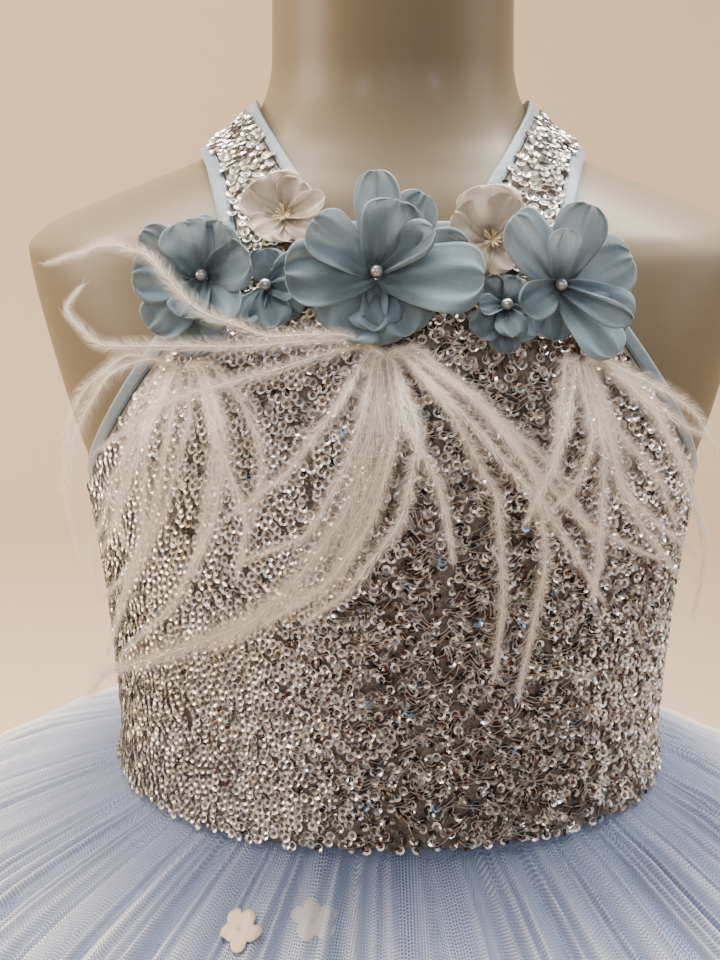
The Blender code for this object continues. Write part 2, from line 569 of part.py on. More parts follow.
def build_flower(flower, materials, waist):
    """One cloth flower with cupped lobed whorls on a short stem that is sewn to the bodice."""
    middle, right, up, out = flower_frame(flower)
    seat = bodice_offset(np.float64(flower.height)) + CLOTH + SEAM_GAP - flower.lift
    steps = flower.petals * STEPS_PER_PETAL
    turn = np.arange(steps) * 2 * math.pi / steps
    reach, rise, lobe = np.array(flower_profile(flower.whorls)).T[:, :, None]
    inner = np.arange(len(reach))[:, None] < len(reach) - 4
    half_turn = np.where(inner, 0.0, math.pi) * (flower.whorls - 1)
    petal = np.cos((flower.petals * turn + half_turn) / 2) ** 2
    lobes = 1 - 0.3 * lobe * (1 - petal)
    curl = 1 + 0.25 * lobe * np.sin(2 * turn + flower.x)
    radius = flower.radius * reach * lobes
    lift = flower.radius * rise * curl
    points = (
        middle
        + (radius * np.cos(turn) + flower.shift_x * reach)[..., None] * right
        + (radius * np.sin(turn) + flower.shift_z * reach)[..., None] * up
        + lift[..., None] * out
    )
    sewn = middle + seat * out + flower.stem_x * right
    around = np.cos(turn)[:, None] * right + np.sin(turn)[:, None] * up
    stem = sewn + FLOWER_STEM * flower.radius * around
    points = np.concatenate([points, stem[None]])
    reach = np.append(reach, [[FLOWER_STEM]], axis=0)
    top = middle + 0.04 * flower.radius * out
    index = ring_index(len(reach), steps, 2)
    faces = []
    for row in range(len(reach) - 1):
        underside = reach[row + 1, 0] < reach[row, 0]
        faces += quads(index[row : row + 2, :: -1 if underside else 1])
    faces += [[0, int(a), int(b)] for a, b in zip(index[0, 1:], index[0, :-1])]
    faces += [[1, int(a), int(b)] for a, b in zip(index[-1, :-1], index[-1, 1:])]
    cloth = materials["ivory_petals" if "ivory" in flower.name else "blue_petals"]
    add_solid(flower.name, np.concatenate([[top, sewn], points.reshape(-1, 3)]), faces, cloth, waist)


def build_pearl(flower, materials, waist):
    """The pearl that sits in the middle of a blue flower."""
    middle, _, _, out = flower_frame(flower)
    seat = flower_profile(flower.whorls)[0][1] * flower.radius
    pearl = bmesh.new()
    bmesh.ops.create_uvsphere(pearl, u_segments=10, v_segments=7, radius=PEARL_RADIUS)
    centre = middle + (seat + SEAM_GAP + PEARL_RADIUS) * out
    points = np.array([vertex.co for vertex in pearl.verts]) + centre
    faces = [[vertex.index for vertex in face.verts] for face in pearl.faces]
    pearl.free()
    add_solid(flower.name.replace("flower", "pearl"), points, faces, materials["pearl"], waist)


def frond_path(bunch, start, frond, layer):
    """(points, normals) along one frond, from the backing's rim, on a guide round the bodice."""
    steps = np.linspace(0, 1, FROND_STEPS + 1)[1:]
    angle = np.radians(frond.angle + frond.bend * steps)
    stride = frond.length / FROND_STEPS
    x = bunch.x + start[0] + np.cumsum(np.sin(angle)) * stride
    height = bunch.height + start[1] - np.cumsum(np.cos(angle)) * stride
    rise = smooth_step((frond.length * steps - FROND_RISE_START) / FROND_RISE_LENGTH)
    off = FROND_LIFT + (bunch.layer + layer * FROND_LAYER_STEP) * rise
    return on_form(x, height, FRONT, off, wider=GUIDE_EASE)


def build_fronds(bunch, materials, waist):
    """A bunch of fronds that grow from the rim of a small flat backing on the bodice."""
    fronds = FRONDS[bunch.name]
    count = len(fronds) + 3
    spread = math.radians(fronds[-1].angle - fronds[0].angle)
    first = math.radians(fronds[0].angle)
    corner = first + (np.arange(len(fronds) + 1) - 0.5) * spread / (len(fronds) - 1)
    closing = corner[-1] + (2 * math.pi - (corner[-1] - corner[0])) * np.array([1, 2]) / 3
    corner = np.concatenate([corner, closing])
    rim_x = BACKING_LENGTH * np.sin(corner)
    rim_z = -BACKING_HEIGHT * np.cos(corner)
    x, height = bunch.x + rim_x, bunch.height + rim_z
    low, normals = on_form(x, height, FRONT, FROND_LIFT, wider=GUIDE_EASE)
    high = low + normals * FROND_THICKNESS
    points = [low, high]
    faces = [list(range(count)), list(range(count, 2 * count))]
    faces += [[k, (k + 1) % count, count + (k + 1) % count, count + k] for k in range(len(fronds), count)]
    total = 2 * count
    for k, frond in enumerate(fronds):
        start = ((rim_x[k] + rim_x[k + 1]) / 2, (rim_z[k] + rim_z[k + 1]) / 2)
        path, out = frond_path(bunch, start, frond, k % FROND_LAYERS)
        root = (low[k] + low[k + 1]) / 2
        ahead = np.gradient(np.concatenate([[root], path]), axis=0)[1:]
        side = np.cross(ahead, out)
        side /= np.linalg.norm(side, axis=1, keepdims=True)
        if np.dot(side[0], low[k + 1] - low[k]) < 0:
            side = -side
        half = np.linspace(FROND_THICKNESS, FROND_TIP, FROND_STEPS)[:, None] / 2
        ring = np.stack([path - side * half, path + side * half, path + side * half + 2 * out * half,
                         path - side * half + 2 * out * half], axis=1)
        index = total + np.arange(4 * FROND_STEPS).reshape(FROND_STEPS, 4)
        index = np.vstack([[k, k + 1, count + k + 1, count + k], index])
        faces += quads(np.hstack([index, index[:, :1]])) + [index[-1].tolist()]
        points.append(ring.reshape(-1, 3))
        total += 4 * FROND_STEPS
    add_solid(bunch.name, np.concatenate(points), faces, materials["fronds"], waist)


def main():
    """Builds every piece."""
    for old in list(bpy.data.objects):
        bpy.data.objects.remove(old)
    materials = {
        "form": make_material("champagne_form", (0.62, 0.52, 0.40), 0.35),
        "stand": make_material("brushed_steel", (0.55, 0.55, 0.56), 0.35, 1.0),
        "sequins": make_material("silver_sequins", (0.55, 0.54, 0.52), 0.25, 0.8),
        "binding": make_material("pale_blue_satin", (0.47, 0.58, 0.70), 0.45),
        "tulle": make_material("pale_blue_tulle", (0.60, 0.70, 0.82), 0.8),
        "underskirt": make_material("blue_underskirt", (0.30, 0.45, 0.66), 0.8),
        "blue_petals": make_material("blue_petal_cloth", (0.33, 0.46, 0.60), 0.7),
        "ivory_petals": make_material("ivory_petal_cloth", (0.80, 0.72, 0.64), 0.7),
        "pearl": make_material("pearl", (0.80, 0.80, 0.78), 0.2),
        "fronds": make_material("ivory_fronds", (0.85, 0.83, 0.80), 0.9),
    }
    waist = bpy.data.objects.new("waist_seam", None)
    waist.location = (0, 0, WAIST_HEIGHT * MM)
    bpy.context.scene.collection.objects.link(waist)
    build_form(materials, waist)
    build_stand(materials)
    build_bodice_front(materials, waist)
    build_bodice_backs(materials, waist)
    build_bindings(materials, waist)
    outer = skirt_wall(SKIRT, SKIRT_FOLDS, SKIRT_CLOTH, 0.4)
    build_skirt("skirt_outer", outer, materials["tulle"], waist)
    under = skirt_wall(UNDERSKIRT, UNDERSKIRT_FOLDS, UNDERSKIRT_CLOTH, 1.9)
    build_skirt("skirt_under", under, materials["underskirt"], waist)
    for flower in FLOWERS:
        build_flower(flower, materials, waist)
        if "ivory" not in flower.name:
            build_pearl(flower, materials, waist)
    for bunch in BUNCHES:
        build_fronds(bunch, materials, waist)


main()
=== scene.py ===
"""The looks of a girl's party dress on a limbless dress form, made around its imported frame.

Sizes are in millimetres and angles in degrees unless a name says otherwise. Points are worked out from the
waist seam, which stands WAIST_HEIGHT above the floor, and Shape.to_object turns them into metres. +Z is up,
the front faces -Y and +X is the wearer's left. FLAT is the UV map that lays a cloth flat, in millimetres, and
TONE is the colour attribute that a finish reads on its piece.
"""

import logging
import math
from collections.abc import Callable
from dataclasses import dataclass
from enum import Enum

import bpy
import numpy as np
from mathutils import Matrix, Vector


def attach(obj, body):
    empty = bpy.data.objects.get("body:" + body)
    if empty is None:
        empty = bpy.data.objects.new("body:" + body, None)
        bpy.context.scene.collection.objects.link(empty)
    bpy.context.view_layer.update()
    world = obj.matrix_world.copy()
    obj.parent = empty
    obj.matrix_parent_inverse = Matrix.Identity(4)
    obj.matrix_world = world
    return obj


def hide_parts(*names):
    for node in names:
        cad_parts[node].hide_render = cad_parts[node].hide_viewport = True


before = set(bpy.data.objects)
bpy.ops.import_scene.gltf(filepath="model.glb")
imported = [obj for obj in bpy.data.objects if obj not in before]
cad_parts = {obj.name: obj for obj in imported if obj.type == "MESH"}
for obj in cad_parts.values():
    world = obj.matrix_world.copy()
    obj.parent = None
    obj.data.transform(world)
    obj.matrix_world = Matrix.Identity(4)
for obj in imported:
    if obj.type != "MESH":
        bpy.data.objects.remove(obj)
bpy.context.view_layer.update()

LOG = logging.getLogger("party_dress")
Array = np.ndarray
Material = bpy.types.Material
Socket = bpy.types.NodeSocket
MM = 0.001
METRE = 1000.0
WAIST_HEIGHT = 700.0
FLAT = "cloth_mm"
# TONE carries painted highlights and painted shade on the sequins, the tulle and the petals
TONE = "tone"
TINY = 1e-9


class Side(Enum):
    """The front or the back of the body, as the sign of y there."""

    FRONT = -1
    BACK = 1


def curve_through(at: Array, knots: Array, values: Array) -> Array:
    """A cubic through points, which never overshoots: a slope is the harmonic mean of its neighbours'.

    Args:
        at: where the curve is read.
        knots: where the points are, rising.
        values: the points' values.

    Returns:
        The curve's value at each place.
    """
    knots, values = np.asarray(knots, float), np.asarray(values, float)
    at = np.clip(np.asarray(at, float), knots[0], knots[-1])
    gaps = np.diff(knots)
    slopes = np.diff(values) / gaps
    tangents = np.zeros(len(knots))
    tangents[0], tangents[-1] = slopes[0], slopes[-1]
    same = slopes[:-1] * slopes[1:] > 0
    before, after = slopes[:-1][same], slopes[1:][same]
    tangents[1:-1][same] = 2 * before * after / (before + after)
    i = np.clip(np.searchsorted(knots, at, side="right") - 1, 0, len(gaps) - 1)
    gap = gaps[i]
    t = (at - knots[i]) / gap
    start = values[i] * (1 + 2 * t) * (1 - t) ** 2 + tangents[i] * gap * t * (1 - t) ** 2
    return start + values[i + 1] * t * t * (3 - 2 * t) + tangents[i + 1] * gap * t * t * (t - 1)


def smooth_step(value: Array, start: float = 0.0, span: float = 1.0) -> Array:
    """0 up to the start and 1 from a span further on, by 3t^2 - 2t^3 between."""
    t = np.clip((value - start) / span, 0, 1)
    return t * t * (3 - 2 * t)


def refined(values: Array, times: int) -> Array:
    """The values with times - 1 more put in evenly between each two of them."""
    count = len(values)
    return np.interp(np.linspace(0, count - 1, (count - 1) * times + 1), np.arange(count), values)


def unit(vectors: Array) -> Array:
    """The vectors at length 1."""
    return vectors / np.maximum(np.linalg.norm(vectors, axis=-1, keepdims=True), TINY)


def sines(at: Array, waves: tuple, start: Array | float = 0.0) -> Array:
    """The start plus sine waves, each with its height, its radians for one of at, and its phase."""
    return sum((high * np.sin(rate * at + phase) for high, rate, phase in waves), start)


def full_turn(steps: int) -> Array:
    """Angles evenly round a circle."""
    return np.linspace(0, 2 * math.pi, steps, endpoint=False)


def scene_object(name: str, data: bpy.types.ID) -> bpy.types.Object:
    """An object of the scene with this data."""
    holder = bpy.data.objects.new(name, data)
    bpy.context.scene.collection.objects.link(holder)
    return holder


def grid_faces(rows: int, columns: int, wrap: bool = False) -> Array:
    """Four-sided faces of a grid whose points are numbered row by row.

    Args:
        rows: how many rows of points.
        columns: how many points in a row.
        wrap: whether the last column joins the first.

    Returns:
        The faces' point numbers.
    """
    index = np.arange(rows * columns).reshape(rows, columns)
    index = np.hstack([index, index[:, :1]]) if wrap else index
    corners = [index[:-1, :-1], index[:-1, 1:], index[1:, 1:], index[1:, :-1]]
    return np.stack(corners, axis=-1).reshape(-1, 4)


@dataclass
class Shape:
    """Points in millimetres from the waist seam with their faces, and what a material reads on them.

    faces is a list of (count, corners) arrays. corner_uv has a (count, corners, 2) array in millimetres for
    each of them, and tone is a red, green and blue for each point, or for each corner of each face.
    """

    points: Array
    faces: list[Array]
    corner_uv: list[Array] | None = None
    tone: Array | None = None

    @staticmethod
    def joined(shapes: list["Shape"]) -> "Shape":
        """One shape of them all, with each one's point numbers moved past those before it."""
        starts = np.cumsum([0] + [len(shape.points) for shape in shapes[:-1]])
        faces = [part + start for shape, start in zip(shapes, starts) for part in shape.faces]
        uv = None if shapes[0].corner_uv is None else [part for shape in shapes for part in shape.corner_uv]
        tone = None if shapes[0].tone is None else np.concatenate([shape.tone for shape in shapes])
        return Shape(np.concatenate([shape.points for shape in shapes]), faces, uv, tone)

    def turned_outwards(self) -> "Shape":
        """The same closed shape, with its faces the other way round if the volume inside them is negative."""
        volume = 0.0
        for part in self.faces:
            corner = self.points[part]
            for k in range(1, part.shape[1] - 1):
                volume += np.einsum("ij,ij->", corner[:, 0], np.cross(corner[:, k], corner[:, k + 1]))
        if volume < 0:
            self.faces = [part[:, ::-1] for part in self.faces]
            self.corner_uv = self.corner_uv and [part[:, ::-1] for part in self.corner_uv]
        return self

    def mirrored(self) -> "Shape":
        """The same shape on the body's other side."""
        flipped = [part[:, ::-1] for part in self.faces]
        uv = self.corner_uv and [part[:, ::-1] for part in self.corner_uv]
        return Shape(self.points * np.array([-1, 1, 1]), flipped, uv, self.tone)

    def to_object(self, name: str, material: Material, slot: str, nodes: tuple[str, ...] = (),
                  smooth: bool = True) -> bpy.types.Object:
        """Makes the mesh in metres, above the floor, and fixes it to the frame.

        Args:
            name: the piece's name.
            material: its finish.
            slot: not used; the record's material slot that the finish belongs to.
            nodes: the CAD nodes that it stands for.
            smooth: whether its faces are shaded as one curved surface.

        Returns:
            The object, at the origin.
        """
        mesh = bpy.data.meshes.new(name)
        points = (self.points + np.array([0, 0, WAIST_HEIGHT])) * MM
        corners = np.concatenate([part.ravel() for part in self.faces])
        sizes = np.concatenate([np.full(len(part), part.shape[1]) for part in self.faces])
        mesh.vertices.add(len(points))
        mesh.vertices.foreach_set("co", points.astype(np.float32).ravel())
        mesh.loops.add(len(corners))
        mesh.loops.foreach_set("vertex_index", corners.astype(np.int32))
        mesh.polygons.add(len(sizes))
        mesh.polygons.foreach_set("loop_start", (np.cumsum(sizes) - sizes).astype(np.int32))
        if self.corner_uv is not None:
            layer = mesh.uv_layers.new(name=FLAT)
            flat = np.concatenate([part.reshape(-1, 2) for part in self.corner_uv])
            layer.data.foreach_set("uv", flat.astype(np.float32).ravel())
        if self.tone is not None:
            domain = "POINT" if len(self.tone) == len(points) else "CORNER"
            colour = mesh.attributes.new(TONE, "FLOAT_COLOR", domain)
            rgba = np.concatenate([self.tone, np.ones((len(self.tone), 1))], axis=1)
            colour.data.foreach_set("color", rgba.astype(np.float32).ravel())
        mesh.update(calc_edges=True)
        mesh.polygons.foreach_set("use_smooth", np.full(len(sizes), smooth))
        mesh.materials.append(material)
        piece = scene_object(name, mesh)
        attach(piece, "root")
        if nodes:
            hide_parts(*nodes)
        LOG.info("%s: %d faces", name, len(sizes))
        return piece


def wall(outside: Array, inside: Array, faces: Array) -> Shape:
    """A closed wall: the faces outside, the same turned round inside, and a rim on every open edge."""
    edges = np.stack([faces, np.roll(faces, -1, axis=1)], axis=-1).reshape(-1, 2)
    _, first, uses = np.unique(np.sort(edges, axis=1), axis=0, return_index=True, return_counts=True)
    rim = edges[first[uses == 1]]
    count = len(outside)
    rims = np.stack([rim[:, 0], rim[:, 0] + count, rim[:, 1] + count, rim[:, 1]], axis=1)
    return Shape(np.concatenate([outside, inside]), [faces, faces[:, ::-1] + count, rims]).turned_outwards()


def tube(grid: Array) -> Shape:
    """A closed tube through rings of points (rings, steps, 3), with a face over each end."""
    rings, steps = grid.shape[:2]
    first = np.arange(steps)[None]
    ends = [first[:, ::-1], first + (rings - 1) * steps]
    return Shape(grid.reshape(-1, 3), [grid_faces(rings, steps, wrap=True), *ends]).turned_outwards()


def lathe(profile: list[tuple[float, float]], steps: int, base: float = 0.0) -> Shape:
    """A turned solid: each (radius, height) of the profile, from the bottom up, is a ring of a tube."""
    turn = full_turn(steps)
    radius, height = np.array(profile, float).T[:, :, None]
    return tube(np.stack([radius * np.cos(turn), radius * np.sin(turn), height + base + 0 * turn], axis=-1))


def linear(code: str) -> tuple[float, float, float, float]:
    """An sRGB hex colour as linear red, green, blue and alpha."""
    parts = [int(code[k : k + 2], 16) / 255 for k in (1, 3, 5)]
    return (*(c / 12.92 if c <= 0.04045 else ((c + 0.055) / 1.055) ** 2.4 for c in parts), 1.0)


class Finish:
    """A material in the making: one Principled shader and the nodes that feed it."""

    def __init__(self, name: str, **values: object) -> None:
        """Starts the material.

        Args:
            name: what the real material is.
            values: the shader's plain values, with _ for a space in the socket's name.
        """
        self.material = bpy.data.materials.new(name)
        self.material.use_nodes = True
        self.tree = self.material.node_tree
        self.tree.nodes.clear()
        surface = self.node("BsdfPrincipled", {key.replace("_", " "): value for key, value in values.items()})
        self.shader = surface[0].node
        self.node("OutputMaterial", {"Surface": surface[0]})

    def node(self, kind: str, inputs: dict | tuple = (), **settings: object) -> bpy.types.bpy_prop_collection:
        """Adds one shader node.

        Args:
            kind: the node's type name, without the ShaderNode it begins with.
            inputs: a constant or another node's output for each input, by name or number, or in turn.
            settings: the node's own properties.

        Returns:
            The node's outputs.
        """
        node = self.tree.nodes.new("ShaderNode" + kind)
        for name, value in settings.items():
            setattr(node, name, value)
        for key, value in inputs.items() if isinstance(inputs, dict) else enumerate(inputs):
            if isinstance(value, Socket):
                self.tree.links.new(value, node.inputs[key])
            else:
                node.inputs[key].default_value = value
        return node.outputs

    def feed(self, name: str, value: Socket) -> None:
        """Links a value to one of the shader's sockets."""
        self.tree.links.new(value, self.shader.inputs[name])


@dataclass(frozen=True)
class FormCoat:
    """Satin putty-coloured lacquer on moulded glass fibre: a broad soft highlight, clouds and orange peel."""

    colour: str = "#776C59"
    cloud: str = "#6D614C"
    cloud_size: float = 90.0
    peel_size: float = 2.2

    def material(self) -> Material:
        """The lacquer's material."""
        coat = Finish("putty_satin_lacquer", Roughness=0.5, IOR=1.5, Coat_Weight=0.16, Coat_Roughness=0.26)
        place = coat.node("TexCoord")["Object"]
        cloud = coat.node("TexNoise", {"Vector": place, "Scale": METRE / self.cloud_size, "Detail": 3.0})[0]
        peel = coat.node("TexNoise", {"Vector": place, "Scale": METRE / self.peel_size, "Detail": 2.0})[0]
        colours = {0: cloud, 6: linear(self.colour), 7: linear(self.cloud)}
        coat.feed("Base Color", coat.node("Mix", colours, data_type="RGBA")[2])
        coat.feed("Normal", coat.node("Bump", {"Strength": 0.06, "Distance": 0.0004, "Height": peel})[0])
        return coat.material


@dataclass(frozen=True)
class BrushedSteel:
    """Brushed stainless steel: fine rings round the turned stand that spread the highlight."""

    colour: str = "#B9B8B6"
    ring_pitch: float = 0.8
    ring_spread: float = 4.0
    roughness: tuple = (0.24, 0.42)

    def material(self) -> Material:
        """The steel's material."""
        steel = Finish("brushed_stainless_steel", Base_Color=linear(self.colour), Metallic=1.0)
        place = steel.node("TexCoord")["Object"]
        scale = (self.ring_spread, self.ring_spread, METRE / self.ring_pitch)
        rings = steel.node("Mapping", {"Vector": place, "Scale": scale})[0]
        brush = steel.node("TexNoise", {"Vector": rings, "Scale": 1.0, "Detail": 3.0})[0]
        steel.feed("Roughness", steel.node("MapRange", (brush, 0.0, 1.0, *self.roughness))[0])
        steel.feed("Normal", steel.node("Bump", {"Strength": 0.12, "Distance": 0.0002, "Height": brush})[0])
        return steel.material


@dataclass(frozen=True)
class SequinFilm:
    """Vacuum-metallised polyester film: mirror facets whose tone changes a little from sequin to sequin and
    carries painted highlights, shade and reflections.
    """

    def material(self) -> Material:
        """The film's material, which takes its colour, with its painted highlights, shade and reflections,
        from each sequin's tone.
        """
        film = Finish("metallised_polyester_film", Metallic=0.45, Roughness=0.22)
        film.feed("Base Color", film.node("Attribute", attribute_name=TONE)["Color"])
        return film.material


@dataclass(frozen=True)
class MetallicThread:
    """Silver grey polyester chain-stitch thread: pale lines that wander between the sequins."""

    colour: str = "#A29D96"

    def material(self) -> Material:
        """The thread's material."""
        thread = Finish("silver_grey_thread", Base_Color=linear(self.colour), Roughness=0.5, Metallic=0.35)
        return thread.material


@dataclass(frozen=True)
class PowerMesh:
    """Knitted grey nylon mesh: the flat dull ground between the sequins, with a pinhole texture."""

    colour: str = "#8C867F"
    hole: str = "#5C554E"
    pitch: float = 0.9

    def material(self) -> Material:
        """The mesh's material."""
        mesh = Finish("grey_knitted_mesh", Roughness=0.85, Sheen_Weight=0.2)
        place = mesh.node("TexCoord")["Object"]
        cell = mesh.node("TexVoronoi", {"Vector": place, "Scale": METRE / self.pitch})[0]
        colours = {0: cell, 6: linear(self.hole), 7: linear(self.colour)}
        mesh.feed("Base Color", mesh.node("Mix", colours, data_type="RGBA")[2])
        return mesh.material


@dataclass(frozen=True)
class BiasSatin:
    """Bias-cut pale blue polyester satin: a soft sheen, slight puckers across it and a stitched inner edge.

    The stitching is a row of dashes in a darker thread, stitch_place in from the strip's outer edge.
    """

    colour: str = "#74838F"
    thread: str = "#637481"
    stitch: float = 2.4
    stitch_place: float = 3.7
    dash: tuple = (-0.3, 0.1)
    stitch_edge: tuple = (0.16, 0.3)
    pucker: float = 3.2
    pucker_run: float = 0.12
    stitch_rise: float = 0.35

    def material(self) -> Material:
        """The satin's material, laid by its UV map: u along the strip and v across it."""
        satin = Finish("pale_blue_bias_satin", Roughness=0.42, Sheen_Weight=0.35, Anisotropic=0.3)
        flat = satin.node("UVMap", uv_map=FLAT)[0]
        parts = satin.node("SeparateXYZ", (flat,))
        turns = satin.node("Math", (parts[0], 2 * math.pi / self.stitch), operation="MULTIPLY")[0]
        beat = satin.node("Math", (turns,), operation="SINE")[0]
        dash = satin.node("MapRange", (beat, *self.dash))[0]
        away = satin.node("Math", (parts[1], self.stitch_place), operation="SUBTRACT")[0]
        away = satin.node("Math", (away,), operation="ABSOLUTE")[0]
        line = satin.node("MapRange", (away, *self.stitch_edge, 1.0, 0.0))[0]
        sewn = satin.node("Math", (dash, line), operation="MULTIPLY")[0]
        colours = {0: sewn, 6: linear(self.colour), 7: linear(self.thread)}
        scale = (1 / self.pucker, self.pucker_run, 1.0)
        across = satin.node("Mapping", {"Vector": flat, "Scale": scale})[0]
        pucker = satin.node("TexNoise", {"Vector": across, "Scale": 1.0, "Detail": 2.0})[0]
        high = satin.node("Math", (sewn, self.stitch_rise, pucker), operation="MULTIPLY_ADD")[0]
        satin.feed("Base Color", satin.node("Mix", colours, data_type="RGBA")[2])
        satin.feed("Normal", satin.node("Bump", {"Strength": 0.55, "Distance": 0.0006, "Height": high})[0])
        return satin.material


@dataclass(frozen=True)
class HexNet:
    """Hexagonal nylon tulle: round holes in a pale thread, closer on a crest, where it doubles, painted
    whiter there and painted in shade in a valley.

    The net is the sum of three cosines whose crests meet on a triangle lattice: a hole is where it is high.
    tone's red is painted light and shade, 0 in a gather's valley and 1 on its crest, and its green how
    sharply it is creased there.
    Real tulle's thread is too fine to show from here, so thread and holes are drawn a little coarser.
    """

    name: str
    # colour is the crests' painted light and valley the valleys' painted shade
    colour: str
    valley: str
    pitch: float = 1.15
    thread: tuple = (-0.9, -0.35)
    cover: float = 0.92
    haze: float = 0.12
    crease: float = 0.4

    def material(self) -> Material:
        """The net's material, laid on the flat cloth by its UV map."""
        net = Finish(self.name, Roughness=0.62, Sheen_Weight=0.3)
        # painted shade in a valley and painted light on a crest, mixed by the tone
        parts = net.node("SeparateColor", (net.node("Attribute", attribute_name=TONE)["Color"],))
        colours = {0: parts[0], 6: linear(self.valley), 7: linear(self.colour)}
        net.feed("Base Color", net.node("Mix", colours, data_type="RGBA")[2])
        flat = net.node("UVMap", uv_map=FLAT)[0]
        wave = 4 * math.pi / math.sqrt(3) / self.pitch
        total: Socket | float = 0.0
        for angle in (0.0, 60.0, 120.0):
            way = (wave * math.cos(math.radians(angle)), wave * math.sin(math.radians(angle)), 0.0)
            phase = net.node("VectorMath", (flat, way), operation="DOT_PRODUCT")[1]
            crest = net.node("Math", (phase,), operation="COSINE")[0]
            total = net.node("Math", (crest, total), operation="ADD")[0]
        alpha = net.node("MapRange", (total, *self.thread, self.cover, self.haze))[0]
        creased = net.node("Math", (parts[1], self.crease), operation="MULTIPLY")[0]
        net.feed("Alpha", net.node("Math", (alpha, creased), operation="MAXIMUM")[0])
        return net.material


@dataclass(frozen=True)
class LiningNet:
    """Stacked blue net over a satin lining: the deeper blue behind the outer tulle, finely creased."""

    colour: str = "#7F91B4"
    deep: str = "#6C7FA5"
    crease: float = 9.0
    crease_run: float = 0.008

    def material(self) -> Material:
        """The lining's material, laid on the flat cloth by its UV map."""
        lining = Finish("blue_net_over_satin", Roughness=0.7, Sheen_Weight=0.4)
        flat = lining.node("UVMap", uv_map=FLAT)[0]
        long = lining.node("Mapping", {"Vector": flat, "Scale": (1 / self.crease, self.crease_run, 1.0)})[0]
        crease = lining.node("TexNoise", {"Vector": long, "Scale": 1.0, "Detail": 3.0})[0]
        colours = {0: crease, 6: linear(self.colour), 7: linear(self.deep)}
        lining.feed("Base Color", lining.node("Mix", colours, data_type="RGBA")[2])
        lining.feed("Normal", lining.node("Bump", {"Strength": 0.5, "Distance": 0.0015, "Height": crease})[0])
        return lining.material


@dataclass(frozen=True)
class PetalCloth:
    """Thin woven petal cloth with edges sealed by heat: matt faces, a dull edge and a fine grain.

    tone is 0 at a petal's root, which is painted in shade, and 1 at its edge, in red, and differs from petal
    to petal in green. glow is the share of light that comes back through the cloth.
    """

    name: str
    colour: str
    # the colour of the painted shade at a petal's root, by the flower's middle
    painted_root_shade: str
    edge: str
    glow: float
    alpha: float = 1.0
    thread: float = 0.4
    painted_root_shade_end: float = 0.55
    rim: tuple = (0.86, 0.985)
    grain: tuple = (0.78, 1.22)
    shade: tuple = (0.8, 1.18)

    def material(self) -> Material:
        """The petal cloth's material."""
        cloth = Finish(self.name, Roughness=0.8, Sheen_Weight=0.1, Alpha=self.alpha,
                       Subsurface_Weight=self.glow, Subsurface_Scale=0.0015,
                       Subsurface_Radius=(1.0, 1.0, 1.0))
        parts = cloth.node("SeparateColor", (cloth.node("Attribute", attribute_name=TONE)["Color"],))
        # painted shade at the petal's root, which fades out along it
        root = cloth.node("MapRange", (parts[0], 0.0, self.painted_root_shade_end))[0]
        rim = cloth.node("MapRange", (parts[0], *self.rim))[0]
        colours = {0: root, 6: linear(self.painted_root_shade), 7: linear(self.colour)}
        colours = {0: rim, 6: cloth.node("Mix", colours, data_type="RGBA")[2], 7: linear(self.edge)}
        faded = cloth.node("Mix", colours, data_type="RGBA")[2]
        place = cloth.node("TexCoord")["Object"]
        weave = cloth.node("TexNoise", {"Vector": place, "Scale": METRE / self.thread, "Detail": 2.0})[0]
        grain = cloth.node("MapRange", (weave, 0.0, 1.0, *self.grain))[0]
        shade = cloth.node("MapRange", (parts[1], 0.0, 1.0, *self.shade))[0]
        level = cloth.node("Math", (grain, shade), operation="MULTIPLY")[0]
        cloth.feed("Base Color", cloth.node("VectorMath", {0: faded, 3: level}, operation="SCALE")[0])
        cloth.feed("Normal", cloth.node("Bump", {"Strength": 0.45, "Distance": 0.0002, "Height": weave})[0])
        return cloth.material


@dataclass(frozen=True)
class PearlGlaze:
    """Nacre-dipped glass bead: a pale grey body under a clear glossy coat with a soft sheen."""

    colour: str = "#B9BBC0"
    swirl: str = "#8F959E"
    swirl_scale: float = 900.0

    def material(self) -> Material:
        """The pearl's material."""
        pearl = Finish("nacre_glazed_bead", Roughness=0.24, Coat_Weight=1.0, Coat_Roughness=0.06,
                       Metallic=0.6, Sheen_Weight=0.2)
        place = pearl.node("TexCoord")["Object"]
        swirl = pearl.node("TexNoise", {"Vector": place, "Scale": self.swirl_scale, "Detail": 2.0})[0]
        colours = {0: swirl, 6: linear(self.colour), 7: linear(self.swirl)}
        pearl.feed("Base Color", pearl.node("Mix", colours, data_type="RGBA")[2])
        return pearl.material


